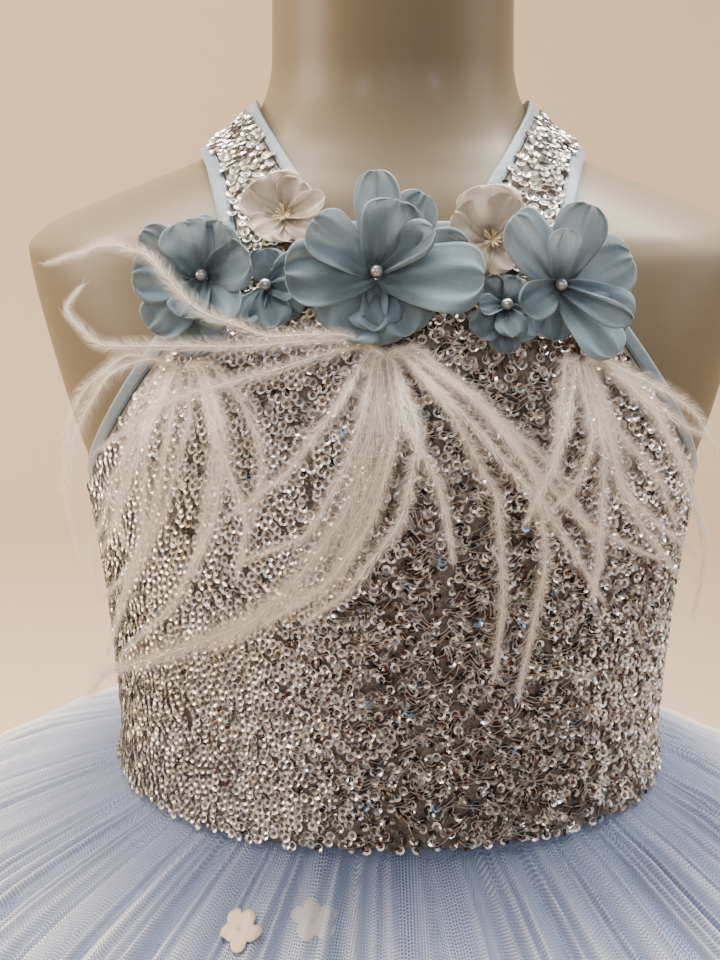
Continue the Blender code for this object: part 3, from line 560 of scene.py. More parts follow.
@dataclass(frozen=True)
class OstrichFeather:
    """Bleached ostrich feather: ivory white barbs so fine that light comes through, and a horny shaft."""

    barb: str = "#EFE7DA"
    shaft: str = "#E9DFCC"
    streak: float = 0.5
    streak_run: float = 0.9
    streak_edge: tuple = (0.3, 0.7)
    slant: float = -3.0
    cover: float = 0.78

    def barb_material(self) -> Material:
        """The barbs' material."""
        return Finish("bleached_ostrich_barb", Base_Color=linear(self.barb), Roughness=0.75,
                      Sheen_Weight=0.3, Alpha=0.5).material

    def down_material(self) -> Material:
        """The barbules' haze: streaks that thin out sideways, as the UV map's v runs from -1 to 1."""
        down = Finish("bleached_ostrich_down", Base_Color=linear(self.barb), Roughness=0.85)
        parts = down.node("SeparateXYZ", (down.node("UVMap", uv_map=FLAT)[0],))
        away = down.node("Math", (parts[1],), operation="ABSOLUTE")[0]
        thin = down.node("MapRange", (away, 0.0, 1.0, self.cover, 0.0))[0]
        slanted = down.node("Math", (away, self.slant, parts[0]), operation="MULTIPLY_ADD")[0]
        across = down.node("CombineXYZ", (slanted, parts[1]))[0]
        scale = (1 / self.streak, self.streak_run, 1.0)
        scaled = down.node("Mapping", {"Vector": across, "Scale": scale})[0]
        streak = down.node("TexNoise", {"Vector": scaled, "Scale": 1.0, "Detail": 3.0})[0]
        dense = down.node("MapRange", (streak, *self.streak_edge))[0]
        down.feed("Alpha", down.node("Math", (dense, thin), operation="MULTIPLY")[0])
        return down.material

    def shaft_material(self) -> Material:
        """The shaft's material."""
        return Finish("bleached_ostrich_shaft", Base_Color=linear(self.shaft), Roughness=0.4,
                      Subsurface_Weight=0.2, Subsurface_Scale=0.001).material


@dataclass(frozen=True)
class PlainCloth:
    """A small plain cloth or thread part, with a fibre grain of the given size."""

    name: str
    colour: str
    grain: float = 0.6
    shade: tuple = (0.86, 1.1)

    def material(self) -> Material:
        """The cloth's material."""
        cloth = Finish(self.name, Roughness=0.8, Sheen_Weight=0.2)
        place = cloth.node("TexCoord")["Object"]
        fibre = cloth.node("TexNoise", {"Vector": place, "Scale": METRE / self.grain, "Detail": 3.0})[0]
        level = cloth.node("MapRange", (fibre, 0.0, 1.0, *self.shade))[0]
        woven = cloth.node("VectorMath", {0: linear(self.colour)[:3], 3: level}, operation="SCALE")[0]
        cloth.feed("Base Color", woven)
        return cloth.material


@dataclass
class BodySurface:
    """The dress form's surface and the lines on it that the bodice's edges follow.

    Each row of form is a height, half of the width, the depth to the front and to the back, and how square
    the section is. A section is the curve |x / width|^p + |y / depth|^p = 1. An armhole's row is a height and
    half of the width there, and a strap's is a place along it with its inner and outer edge. straightening is
    the height where the cloth begins to leave the form, and how far up it is clear of it. density is how many
    steps the mesh makes of one step in these tables.
    """

    form: tuple = (
        (-180, 97, 82, 88, 2.2), (-120, 104, 87, 94, 2.2), (-55, 99, 84, 83, 2.2), (0, 92, 77, 72, 2.2),
        (50, 94, 80, 74, 2.2), (100, 99.5, 83, 80, 2.2), (125, 106.5, 82, 83, 2.2), (150, 113, 77, 81, 2.2),
        (170, 117.5, 70, 75, 2.2), (178, 118.5, 66.5, 71, 2.2), (184, 113, 63.5, 67, 2.2),
        (190, 100, 60, 62, 2.15), (197, 82, 56, 56, 2.1), (206, 60, 50, 48, 2.05), (215, 47, 45, 43, 2.0),
        (225, 40.5, 41, 40, 2.0), (235, 38.5, 39, 38.5, 2.0), (286, 37.7, 38, 37.7, 2.0),
    )
    shoulder_height: float = 178.0
    neck_side: float = 41.5
    front_armhole: tuple = ((103, 99.8), (120, 93), (141, 81), (158, 69), (172, 58), (186, 50))
    back_armhole: tuple = ((103, 99.8), (120, 92), (140, 80), (153, 70), (161, 64))
    front_heights: tuple = (103, 104.8, 108.5, 116, 128, 142, 157, 171, 181)
    back_heights: tuple = (156, 147, 136, 126, 116, 108.5, 104.8, 103)
    underarm: float = 102.5
    under_heights: tuple = (0.5, 5, 12, 40, 70)
    strap_stations: tuple = (1.0, 0.86, 0.72, 0.58, 0.42, 0.24, 0.0)
    strap: tuple = ((-1.0, 18, 50.2), (-0.5, 35.5, 56.5), (-0.25, 40, 59.3), (0.0, 41.5, 60.5),
                    (0.5, 39.8, 61.5), (1.0, 34, 64.2))
    front_top: float = 190.0
    back_top: float = 165.0
    neck_binding: float = 4.0
    binding_width: float = 4.6
    seam: float = 0.3
    ease: float = 1.0
    strap_ease: float = 2.2
    cloth: float = 1.6
    hem_lip: float = 2.8
    hem_lip_foot: float = -3.0
    hem_lip_height: float = 14.0
    straightening: tuple = (118.0, 60.0)
    density: int = 4

    def section(self, height: Array, side: Array, wider: float = 0.0) -> tuple[Array, Array, Array]:
        """Half width, depth on that side and squareness at each height; wider is added to the half width."""
        heights, widths, fronts, backs, powers = np.array(self.form, float).T
        depth = np.where(np.asarray(side) < 0, curve_through(height, heights, fronts),
                         curve_through(height, heights, backs))
        return curve_through(height, heights, widths) + wider, depth, curve_through(height, heights, powers)

    def on_form(self, x: Array, height: Array, side: Array, off: Array = 0.0,
                wider: float = 0.0) -> tuple[Array, Array]:
        """Points off the form along its normal, which is the gradient of the section's formula.

        Args:
            x: the place across the form, before off is added.
            height: the height there.
            side: -1 in front and 1 behind.
            off: how far outside the form the point is.
            wider: how much wider than the form the guide is.

        Returns:
            The points and the normals.
        """
        values = (np.asarray(value, float) for value in (x, height, side, off))
        x, height, side, off = np.broadcast_arrays(*values)
        width, depth, power = self.section(height, side, wider)
        across = np.clip(np.abs(x) / width, 0, 1)
        deep = (1 - across**power) ** (1 / power)
        step = 0.5
        above_width, above_depth, _ = self.section(height + step, side, wider)
        rise = -(across**power) * (above_width - width) / step / width
        rise -= deep**power * (above_depth - depth) / step / depth
        normal = unit(np.stack([np.sign(x) * across ** (power - 1) / width,
                                side * deep ** (power - 1) / depth, rise], axis=-1))
        point = np.stack([np.sign(x) * across * width, side * depth * deep, height], axis=-1)
        return point + off[..., None] * normal, normal

    def ridge_height(self, x: Array) -> Array:
        """The height of the shoulder's ridge, where the form is just so wide."""
        samples = 400
        heights = np.linspace(self.shoulder_height, self.form[-1][0], samples)
        widths = self.section(heights, -1)[0]
        return np.interp(x, widths[::-1], heights[::-1])

    def strap_point(self, along: Array, share: Array, off: float = 0.0) -> tuple[Array, Array]:
        """Points and normals on the left strap: along is -1 in front and 1 behind, share 0 at its inside."""
        along, share = np.broadcast_arrays(np.asarray(along, float), np.asarray(share, float))
        stations, inner, outer = np.array(self.strap, float).T
        inner = curve_through(along, stations, inner)
        x = inner + (curve_through(along, stations, outer) - inner) * share
        end = np.where(along < 0, self.front_top, self.back_top) - self.neck_binding - self.seam
        top = self.ridge_height(np.maximum(x, self.neck_side))
        return self.on_form(x, top - (top - end) * along**2, np.where(along < 0, -1, 1), off)

    def strap_inset(self, along: Array, share: Array, width: float) -> Array:
        """The share of the strap's width that a strip so wide takes up along one of its edges."""
        nudge = 0.01
        before, after = np.clip(along - nudge, -1, 1), np.clip(along + nudge, -1, 1)
        ahead = self.strap_point(after, share)[0] - self.strap_point(before, share)[0]
        across = self.strap_point(along, 1.0)[0] - self.strap_point(along, 0.0)[0]
        full = np.linalg.norm(across, axis=-1)
        lean = np.linalg.norm(np.cross(ahead, across), axis=-1) / full / np.linalg.norm(ahead, axis=-1)
        return width / full / lean

    def stations(self) -> Array:
        """Places along half a strap, from its end (1) to the ridge (0)."""
        return refined(np.array(self.strap_stations), self.density)

    def armhole_loop(self) -> tuple[Array, Array, Array, Array]:
        """The edge round the left armhole, up in front, over the strap and down behind.

        Returns:
            The edge's points, the ways into the cloth, and the normals at the edge and at the cloth.
        """
        pieces = []
        front, back = refined(self.front_heights, self.density), refined(self.back_heights, self.density)
        for heights, table, side in ((front, self.front_armhole, -1), (back, self.back_armhole, 1)):
            knots, widths = np.array(table, float).T
            width = np.minimum(curve_through(heights, knots, widths), self.section(heights, side)[0])
            pieces.append(self.on_form(width, heights, side))
        half = self.stations()[:-1]
        over = np.concatenate([-half, [0.0], half[::-1]])
        pieces.insert(1, self.strap_point(over, 1.0))
        pieces.append(self.on_form(self.section([self.underarm], -1)[0], [self.underarm], -1))
        points, normals = (np.concatenate([piece[k] for piece in pieces]) for k in range(2))
        inwards = unit(np.cross(normals, np.roll(points, -1, axis=0) - np.roll(points, 1, axis=0)))
        on_strap = slice(len(front), len(front) + len(over))
        inner, inner_normals = self.strap_point(over, 1 - self.strap_inset(over, 1.0, self.binding_width))
        inwards[on_strap] = (inner - points[on_strap]) / self.binding_width
        cloth_normals = normals.copy()
        cloth_normals[on_strap] = inner_normals
        return points, inwards, normals, cloth_normals

    def top(self, side: Side) -> float:
        """Where a panel ends, under the binding's upper edge."""
        return (self.front_top if side is Side.FRONT else self.back_top) - self.neck_binding

    def panel_edge(self, side: Side) -> tuple[Array, Array]:
        """Heights and half widths of a panel's rows: under the arm the form's, then its armhole binding's."""
        edge, inwards, _, _ = self.armhole_loop()
        count = (len(self.front_heights if side is Side.FRONT else self.back_heights) - 1) * self.density + 1
        cut = edge + inwards * (self.binding_width + self.seam)
        cut = cut[:count] if side is Side.FRONT else cut[-2 : -2 - count : -1]
        lower = refined([*self.under_heights, self.underarm - self.binding_width - self.seam], self.density)
        return np.append(lower, cut[:, 2]), np.append(self.section(lower, side.value)[0], cut[:, 0])

    def bodice_offset(self, height: Array) -> Array:
        """How far the bodice's inside lies off the form: more at the lip over the skirt and near the top."""
        lip = self.hem_lip * smooth_step(1 - (height - self.hem_lip_foot) / self.hem_lip_height)
        return self.ease + lip + (self.strap_ease - self.ease) * smooth_step(height, *self.straightening)


@dataclass
class DisplayForm:
    """The smooth limbless torso with its plain neck, and the turned steel stand that it is on."""

    body: BodySurface
    columns: int = 120
    rows: int = 110
    spans: tuple = ((-180, 170, 2), (171, 215, 3), (217, 286, 6))
    neck_edge: float = 3.0
    edge_rings: int = 6
    pole_radius: float = 12.5
    flange: tuple = (32.0, 6.0)
    collar: float = 4.0
    foot: tuple = (150.0, 10.0)
    foot_edge: tuple = (2.0, 0.6)
    foot_rings: tuple = (60, 24)
    socket: tuple = (20.0, 28.0, 2.0)
    gap: float = 0.3
    foot_steps: int = 96
    pole_steps: int = 64

    def torso(self) -> Shape:
        """Rings of the form's sections from the hips to the neck, whose edge is rounded, closed at both ends.

        Each of the spans is a range of heights and the part of all rows that it gets.
        """
        top = self.body.form[-1][0]
        plain = np.concatenate([np.linspace(low, high, self.rows // part) for low, high, part in self.spans])
        turn = np.linspace(0, math.pi / 2, self.edge_rings)
        height = np.append(plain[:-1], top - self.neck_edge * (1 - np.sin(turn)))
        shrink = np.append(np.zeros(len(plain) - 1), self.neck_edge * (1 - np.cos(turn)))[:, None]
        height, turn = np.meshgrid(height, full_turn(self.columns), indexing="ij")
        side = np.where(np.cos(turn) >= 0, -1, 1)
        width, depth, power = self.body.section(height, side)
        x = (width - shrink) * np.sign(np.sin(turn)) * np.abs(np.sin(turn)) ** (2 / power)
        y = side * (depth - shrink) * np.abs(np.cos(turn)) ** (2 / power)
        return tube(np.stack([x, y, height], axis=-1))

    def stand(self) -> dict[str, Shape]:
        """The foot with its bevelled edge, its tapered socket, and the pole with a flange at its top."""
        (radius, thick), (edge, bevel) = self.foot, self.foot_edge
        foot = [(radius - edge, 0), (radius - bevel, bevel), (radius, edge), (radius, thick - edge),
                (radius - bevel, thick - bevel), (radius - edge, thick)]
        foot += [(ring, thick) for ring in self.foot_rings]
        wide, tall, taper = self.socket
        seat = thick + tall
        socket = [(wide, thick + self.gap), (wide - taper * 0.8, seat - 2), (wide - taper, seat - 1),
                  (wide - taper - 1, seat)]
        top = WAIST_HEIGHT + self.body.form[0][0] - self.gap
        flange, deep = self.flange
        pole = [(self.pole_radius, seat + self.gap), (self.pole_radius, top - 2 * deep),
                (self.pole_radius + self.collar, top - 1.8 * deep), (flange - 1, top - deep),
                (flange, top - deep + 1), (flange, top)]
        return {"foot_disc": lathe(foot, self.foot_steps, -WAIST_HEIGHT),
                "foot_socket": lathe(socket, self.pole_steps, -WAIST_HEIGHT),
                "pole_tube": lathe(pole, self.pole_steps, -WAIST_HEIGHT)}

    def build(self) -> None:
        """Makes the form, the foot, the socket and the pole."""
        coat, steel = FormCoat().material(), BrushedSteel().material()
        self.torso().to_object("form_torso", coat, "form", ("dress_form",))
        for (name, shape), node in zip(self.stand().items(), ("stand_foot", "stand_socket", "stand_pole")):
            shape.to_object(name, steel, "stand", (node,), smooth=name != "foot_disc")


@dataclass
class Bodice:
    """The grey mesh of the front and the two backs, the satin bindings and the zip between the backs.

    Column numbers are for one step of the body's density. strip_share and strip_rise are a binding's section:
    how far in from its edge each point is, and how high, against the binding's thickness. A zip row is the
    place across, and zip_lip how high its lips stand, how deep the groove is against that, and its width.
    """

    body: BodySurface
    sunk: float = 0.2
    thickness: float = 0.7
    binding_cloth: float = 1.15
    strap_columns: int = 5
    front_columns: int = 8
    back_columns: int = 4
    neck_columns: int = 6
    strap_clearance: float = 1.2
    ridge_gap: float = 0.006
    strip_share: tuple = (0.0, 0.02, 0.07, 0.25, 0.5, 0.75, 0.93, 0.98, 1.0, 0.5)
    strip_rise: tuple = (0.2, 0.72, 0.93, 0.99, 1.0, 0.99, 0.93, 0.72, 0.2, 0.0)
    neck_ends: tuple = (0.012, 0.96)
    zip_width: float = 5.0
    zip_row: tuple = (-2.5, -2.2, -1.2, -0.45, 0.0, 0.45, 1.2, 2.2, 2.5)
    zip_lip: tuple = (1.4, 0.85, 0.35)
    zip_edge: float = 0.7
    zip_floor: float = 0.05

    def strap_grid(self, side: Side, segments: int) -> tuple[Array, Array]:
        """Points and normals of the half strap on one side between its bindings, from its end up."""
        body = self.body
        along = side.value * body.stations()
        along[-1] = side.value * self.ridge_gap
        taken = body.binding_width + self.strap_clearance * body.seam
        start, end = body.strap_inset(along, 0.0, taken), 1 - body.strap_inset(along, 1.0, taken)
        share = start[:, None] + (end - start)[:, None] * np.linspace(0, 1, segments + 1)
        points, normals = body.strap_point(along[:, None] + 0 * share, share)
        points[-1, :, 1] = side.value * body.seam
        return points, normals

    def panel(self, side: Side) -> Shape:
        """The front, or the left back, as one wall with its half straps.

        Below the arm each row is spread by a sine of the place across. Towards the top its points move under
        those of the strap's end, which the strap's own grid carries on from.
        """
        body, sign = self.body, side.value
        segments = self.strap_columns * body.density
        centre = (self.front_columns if side is Side.FRONT else self.back_columns) * body.density
        strap, strap_normals = self.strap_grid(side, segments)
        rows, width = body.panel_edge(side)
        top = strap[0, :, 0]
        blend = smooth_step(rows, *body.straightening)[:, None]
        start = 0.0 if side is Side.FRONT else self.zip_width / 2 + body.seam
        if side is Side.FRONT:
            top_x = np.concatenate([-top[::-1], np.linspace(-top[0], top[0], centre + 1)[1:-1], top])
        else:
            top_x = np.concatenate([np.linspace(start, top[0], centre + 1)[:-1], top])
        even = np.sin(np.linspace(-1 if side is Side.FRONT else 0, 1, len(top_x)) * math.pi / 2)
        share = even * (1 - blend) + (top_x - start) / (top[-1] - start) * blend
        x = start + (width[:, None] - start) * share
        grid, grid_normals = body.on_form(x, rows[:, None] + 0 * x, sign)
        grid[..., 1] = sign * np.maximum(sign * grid[..., 1], body.seam)
        end = body.top(side) - body.seam
        last, last_normals = body.on_form(top_x, end + 0 * top_x, sign)
        grid = np.concatenate([grid, last[None]])
        normals = np.concatenate([grid_normals, last_normals[None]])
        off = np.repeat(np.append(body.bodice_offset(rows), body.strap_ease), grid.shape[1])
        index = np.arange(grid[..., 0].size).reshape(grid.shape[:2])
        faces, offs = [grid_faces(*index.shape)], [off]
        points, normals = [grid.reshape(-1, 3)], [normals.reshape(-1, 3)]
        count = index.size
        sides = ((1, index[-1, -segments - 1 :]), (-1, index[-1, segments::-1]))
        for flip, ends in sides if side is Side.FRONT else sides[:1]:
            rest = count + np.arange(strap[1:, :, 0].size).reshape(-1, segments + 1)
            table = np.vstack([ends, rest])[:, ::flip]
            faces.append(table.ravel()[grid_faces(*table.shape)])
            mirror = np.array([flip, 1, 1])
            points.append((strap[1:] * mirror).reshape(-1, 3))
            normals.append((strap_normals[1:] * mirror).reshape(-1, 3))
            offs.append(np.full(rest.size, body.strap_ease))
            count += rest.size
        points, normals = np.concatenate(points), np.concatenate(normals)
        low = np.concatenate(offs)[:, None] + self.sunk
        return wall(points + normals * (low + self.thickness), points + normals * low, np.concatenate(faces))

    def strip(self, edge: tuple[Array, Array], inner: tuple[Array, Array], low: Array, closed: bool) -> Shape:
        """A folded satin strip: a rounded section carried along between its two edges.

        Args:
            edge: points and normals along the outer edge.
            inner: the same along the edge that meets the cloth.
            low: how far off the form its underside is at each point.
            closed: whether the strip is a ring.

        Returns:
            The strip, with u along it and v across it as its UV.
        """
        share = np.array(self.strip_share)
        high = np.array(self.strip_rise) * self.binding_cloth
        low = np.broadcast_to(low, len(edge[0]))[:, None, None]
        points = edge[0][:, None] + (inner[0] - edge[0])[:, None] * share[:, None]
        normals = unit(edge[1][:, None] + (inner[1] - edge[1])[:, None] * share[:, None])
        points = points + normals * (low + high[:, None])
        steps = np.linalg.norm(np.diff(edge[0], axis=0, append=edge[0][:1]), axis=1)
        along = np.append(0, np.cumsum(steps))[: len(edge[0]) + closed]
        section, width = len(share), np.linalg.norm(inner[0][0] - edge[0][0])
        u, v = np.meshgrid(along, np.append(share, 0.0) * width, indexing="ij")
        flat = np.stack([u, v], axis=-1)
        count = len(points)
        index = np.arange(count * section).reshape(count, section)
        index = np.vstack([index, index[:1]]) if closed else index
        index = np.hstack([index, index[:, :1]])
        corners = grid_faces(*index.shape)
        faces, uv = [index.ravel()[corners]], [flat.reshape(-1, 2)[corners]]
        if not closed:
            for end in (index[0, :-1], index[-1, -2::-1]):
                faces.append(end[None])
                uv.append(np.zeros((1, section, 2)))
        return Shape(points.reshape(-1, 3), faces, uv).turned_outwards()

    def bindings(self) -> dict[str, Shape]:
        """The strips round the armholes, along the straps' inner edges to the zip, and across the neck."""
        body = self.body
        edge, inwards, normals, cloth_normals = body.armhole_loop()
        low = body.bodice_offset(edge[:, 2])
        over = body.stations()
        first = (len(body.front_heights) - 1) * body.density + 1
        low[first : first + 2 * len(over) - 1] = body.strap_ease
        inner = edge + inwards * body.binding_width
        armhole = self.strip((edge, normals), (inner, cloth_normals), low, closed=True)
        shift, short = self.neck_ends
        along = np.concatenate([-over, over[-2:0:-1], [short]])
        along[0] += shift
        edge = body.strap_point(along, 0.0)
        along[-1] = 1.0
        inner = body.strap_point(along, body.strap_inset(along, 0.0, body.binding_width))
        columns = self.back_columns * body.density
        to_zip = np.linspace(body.strap[-1][1], self.zip_width / 2 + body.seam, columns)[1:]
        neck = body.on_form(to_zip, body.back_top, 1)
        cloth = body.on_form(to_zip, body.back_top - body.neck_binding, 1)
        inner[0][-1, 2] = body.back_top - body.neck_binding
        outer = tuple(np.concatenate([edge[k], neck[k]]) for k in range(2))
        inner = tuple(np.concatenate([inner[k], cloth[k]]) for k in range(2))
        neck_side = self.strip(outer, inner, body.strap_ease, closed=False)
        reach = body.strap[0][1] - body.seam
        across = np.linspace(-reach, reach, self.neck_columns * body.density)
        top, low = body.front_top, body.front_top - body.neck_binding
        front = self.strip(body.on_form(across, top, -1), body.on_form(across, low, -1), body.strap_ease,
                           closed=False)
        return {
            "armhole_binding_left": armhole, "armhole_binding_right": armhole.mirrored(),
            "neck_binding_left": neck_side, "neck_binding_right": neck_side.mirrored(),
            "neck_binding_front": front,
        }

    def zip_tape(self) -> Shape:
        """The concealed zip: two satin lips whose groove is a bell curve of the place across."""
        body = self.body
        rows, _ = body.panel_edge(Side.BACK)
        rows = np.append(rows, body.back_top)
        x = np.array(self.zip_row)
        high, deep, wide = self.zip_lip
        rise = high * (1 - deep * np.exp(-((x / wide) ** 2)))
        rise[[0, -1]] = self.zip_edge
        points, normals = body.on_form(x + 0 * rows[:, None], rows[:, None] + 0 * x, 1)
        low = body.bodice_offset(rows)[:, None, None]
        outside, inside = points + normals * (low + rise[:, None]), points + normals * (low + self.zip_floor)
        shape = wall(outside.reshape(-1, 3), inside.reshape(-1, 3), grid_faces(*outside.shape[:2]))
        flat = np.concatenate([points.reshape(-1, 3)] * 2)
        shape.corner_uv = [flat[part][..., [2, 0]] for part in shape.faces]
        return shape

    def build(self) -> None:
        """Makes the mesh panels, the bindings and the zip."""
        ground, satin = PowerMesh().material(), BiasSatin().material()
        back = self.panel(Side.BACK)
        panels = {"front": self.panel(Side.FRONT), "back_left": back, "back_right": back.mirrored()}
        for name, shape in panels.items():
            shape.to_object("bodice_mesh_" + name, ground, "sequins", ("bodice_" + name,))
        for name, shape in self.bindings().items():
            shape.to_object("satin_" + name, satin, "binding", (name,))
        self.zip_tape().to_object("satin_zip_lips", satin, "binding", ("back_zip",))


@dataclass
class Sequins:
    """Cup sequins sewn on in wandering rows, each lapping the next, with the thread from hole to hole.

    Pairs of sizes are for the neat rows at the sides and for the ruffled middle, and gloom runs from 0 to 1
    between them; where gloom is high, more sequins take the painted dark and rusty reflections. Whirls are
    the sines that the rows wander by, of sizes between the two given. A palette is hex colours with their
    shares: the lit palettes are painted highlights, with a few painted white and blue glints, and the others
    painted shade and painted reflections. A range is where it starts and how long it is: loose_range and
    dark_range run towards the wearer's left, pale_range further on there, low_range down and lit_range up the
    front, which turns the painted highlight round each rim.
    """

    body: BodySurface
    diameter: float = 3.15
    hole: float = 0.42
    floor: float = 0.78
    cup: float = 0.42
    sides: int = 8
    pitch: float = 2.45
    row_pitch: float = 2.55
    border: float = 12.0
    whirls: int = 14
    whirl_size: tuple = (9.0, 22.0)
    whirl_steps: int = 8
    whirl_share: tuple = (0.4, 0.6)
    loose_range: tuple = (-45, 60)
    dark_range: tuple = (-38, 50)
    pale_range: tuple = (30, 45)
    pale_share: float = 0.6
    low_range: tuple = (-135, 60)
    low_share: tuple = (0.55, 0.45)
    patches: tuple = (0.12, 9.0, 13.0)
    lit_range: tuple = (55, 50)
    lit_edge: tuple = (0.1, 0.35)
    lit_turn: float = -0.4
    lit_scatter: tuple = (0.35, 3)
    tone_scatter: tuple = (0.88, 1.06)
    lap: float = 11.0
    droop: float = 9.0
    scatter: tuple = (6.0, 17.0)
    seat: float = 1.6
    thread: tuple = (0.14, 0.38)
    missing: tuple = (0.015, 0.06)
    # painted shade: the cup's floor is painted at this share of its rim's shaded colour
    shadow: float = 0.6
    lowest: float = -4.0
    zip_clearance: float = 4.2
    strap_half: float = 62.0
    strap_reach: float = 0.999
    seed: int = 7
    # painted light: highlights with a few white and blue glints, and shade with dark and rusty reflections
    neat_painted_lit: tuple = (("#FAF9F6", 0.52), ("#E9E8E5", 0.36), ("#FDF3DD", 0.12))
    neat_painted_shade: tuple = (("#C6C3BD", 0.5), ("#9F9B95", 0.33), ("#77736D", 0.17))
    ruffled_painted_lit_and_glints: tuple = (("#F6F4F1", 0.42), ("#BEBBB6", 0.24), ("#6E6A65", 0.28), ("#9FCBF3", 0.015),
                           ("#FFFFFF", 0.045))
    ruffled_painted_shade_and_reflections: tuple = (("#2F2C2A", 0.38), ("#644030", 0.26), ("#94918C", 0.36))

    def unroller(self, side: Side) -> tuple[Array, Array, Array]:
        """A table that turns a length along the cloth's section into the place across the form.

        Returns:
            The heights of its rows, the lengths of its columns, and x for each, which is nan past the edge.
        """
        rows, widths = self.body.panel_edge(side)
        heights = np.linspace(self.lowest, rows[-1] + 6, 64)
        limit = np.interp(heights, rows, widths)
        share = np.sin(np.linspace(0, math.pi / 2, 160))
        lengths = np.linspace(0, 190, 381)
        table = []
        for height, edge in zip(heights, limit):
            off = self.body.bodice_offset(height) + self.seat
            points, _ = self.body.on_form(edge * share, height, side.value, off)
            arc = np.append(0, np.cumsum(np.linalg.norm(np.diff(points, axis=0), axis=1)))
            table.append(np.interp(lengths, arc, edge * share, right=np.nan))
        return heights, lengths, np.array(table)

    def wandering(self, low: tuple[float, float], high: tuple[float, float],
                  swirl: float) -> tuple[Array, Array]:
        """A grid of rows carried a little way round by whirls, which keep the area between the rows.

        The flow follows the level lines of a sum of sines in small steps, more so on the wearer's left.

        Args:
            low: the least place along and across the rows.
            high: the greatest.
            swirl: how far the rows wander, in millimetres or so.

        Returns:
            The places (rows, columns, 2), and those a little further along each row.
        """
        rng = np.random.default_rng(self.seed)
        turn, phase = rng.uniform(0, 2 * math.pi, (2, self.whirls))
        ways = np.stack([np.cos(turn), np.sin(turn)])
        wave = 2 * math.pi / rng.uniform(*self.whirl_size, self.whirls) * ways
        u = np.arange(low[0] - self.border, high[0] + self.border, self.pitch)
        v = np.arange(low[1] - self.border, high[1] + self.border, self.row_pitch)
        v, u = np.meshgrid(v, u, indexing="ij")
        u = u + 0.5 * self.pitch * (np.arange(len(u)) % 2)[:, None]
        least, more = self.whirl_share

        def carried(places: Array) -> Array:
            """The places after the flow's steps."""
            for _ in range(self.whirl_steps):
                slope = np.cos(places @ wave + phase) @ wave.T
                loose = least + more * smooth_step(places[..., :1], *self.loose_range)
                places = places + swirl / self.whirl_steps * loose * slope[..., ::-1] * np.array([1, -1])
            return places

        return carried(np.stack([u, v], axis=-1)), carried(np.stack([u + 0.2, v], axis=-1))

    def on_panel(self, side: Side, places: Array) -> tuple[Array, Array, Array]:
        """Points, normals and whether each is on the panel, for places given by length across and height."""
        heights, lengths, table = self.unroller(side)
        u, v = places[..., 0], places[..., 1]
        row = np.clip((v - heights[0]) / (heights[1] - heights[0]), 0, len(heights) - 1.001)
        column = np.clip(np.abs(u) / (lengths[1] - lengths[0]), 0, len(lengths) - 1.001)
        i, j = row.astype(int), column.astype(int)
        a, b = row - i, column - j
        lower = table[i, j] * (1 - b) + table[i, j + 1] * b
        upper = table[i + 1, j] * (1 - b) + table[i + 1, j + 1] * b
        x = lower * (1 - a) + upper * a
        top = self.body.top(side)
        inside = np.isfinite(x) & (v > 0.2) & (v < top - 0.6)
        if side is Side.BACK:
            inside &= np.abs(x) > self.zip_clearance
        x = np.where(inside, np.nan_to_num(x), 10.0) * np.sign(u)
        v = np.clip(v, self.lowest, top)
        points, normals = self.body.on_form(x, v, side.value, self.body.bodice_offset(v) + self.seat)
        return points, normals, inside

    def on_strap(self, places: Array) -> tuple[Array, Array, Array]:
        """Points, normals and whether each is on the strap, for places by length across and along it."""
        body = self.body
        along = places[..., 1] / self.strap_half
        safe = np.clip(along, -self.strap_reach, self.strap_reach)
        inset = body.strap_inset(safe, 0.0, body.binding_width)
        outset = body.strap_inset(safe, 1.0, body.binding_width)
        width = np.linalg.norm(body.strap_point(safe, 1.0)[0] - body.strap_point(safe, 0.0)[0], axis=-1)
        share = places[..., 0] / width
        inside = (np.abs(along) < self.strap_reach) & (share > inset) & (share < 1 - outset)
        points, normals = body.strap_point(safe, np.clip(share, 0, 1), body.strap_ease + self.seat)
        return points, normals, inside

    def gloom(self, points: Array) -> Array:
        """How ruffled the front is, and how dark its painted reflections are: most in the middle, low down
        and on the wearer's left.
        """
        x, height = points[..., 0], points[..., 2]
        pale = 1 - self.pale_share * smooth_step(x, *self.pale_range)
        patch, wide, tall = self.patches
        patchy = 0.5 + 0.5 * np.sin(x / wide + 2 * np.sin(height / tall))
        least, more = self.low_share
        dark = smooth_step(x, *self.dark_range) * pale
        return np.clip(dark * (least + more * smooth_step(-height, *self.low_range)) + patch * patchy, 0, 1)

    def drawn(self, palettes: tuple, gloom: Array, rng: np.random.Generator) -> Array:
        """A colour for each sequin, out of the neat palette or, as often as its gloom says, the rough one."""
        rough = rng.random(len(gloom)) < gloom
        picks = []
        for palette in palettes:
            codes, shares = zip(*palette)
            colours = np.array([linear(code)[:3] for code in codes])
            picks.append(colours[rng.choice(len(codes), len(gloom), p=np.array(shares) / sum(shares))])
        level = rng.uniform(*self.tone_scatter, len(gloom))[:, None]
        return np.where(rough[:, None], picks[1], picks[0]) * level

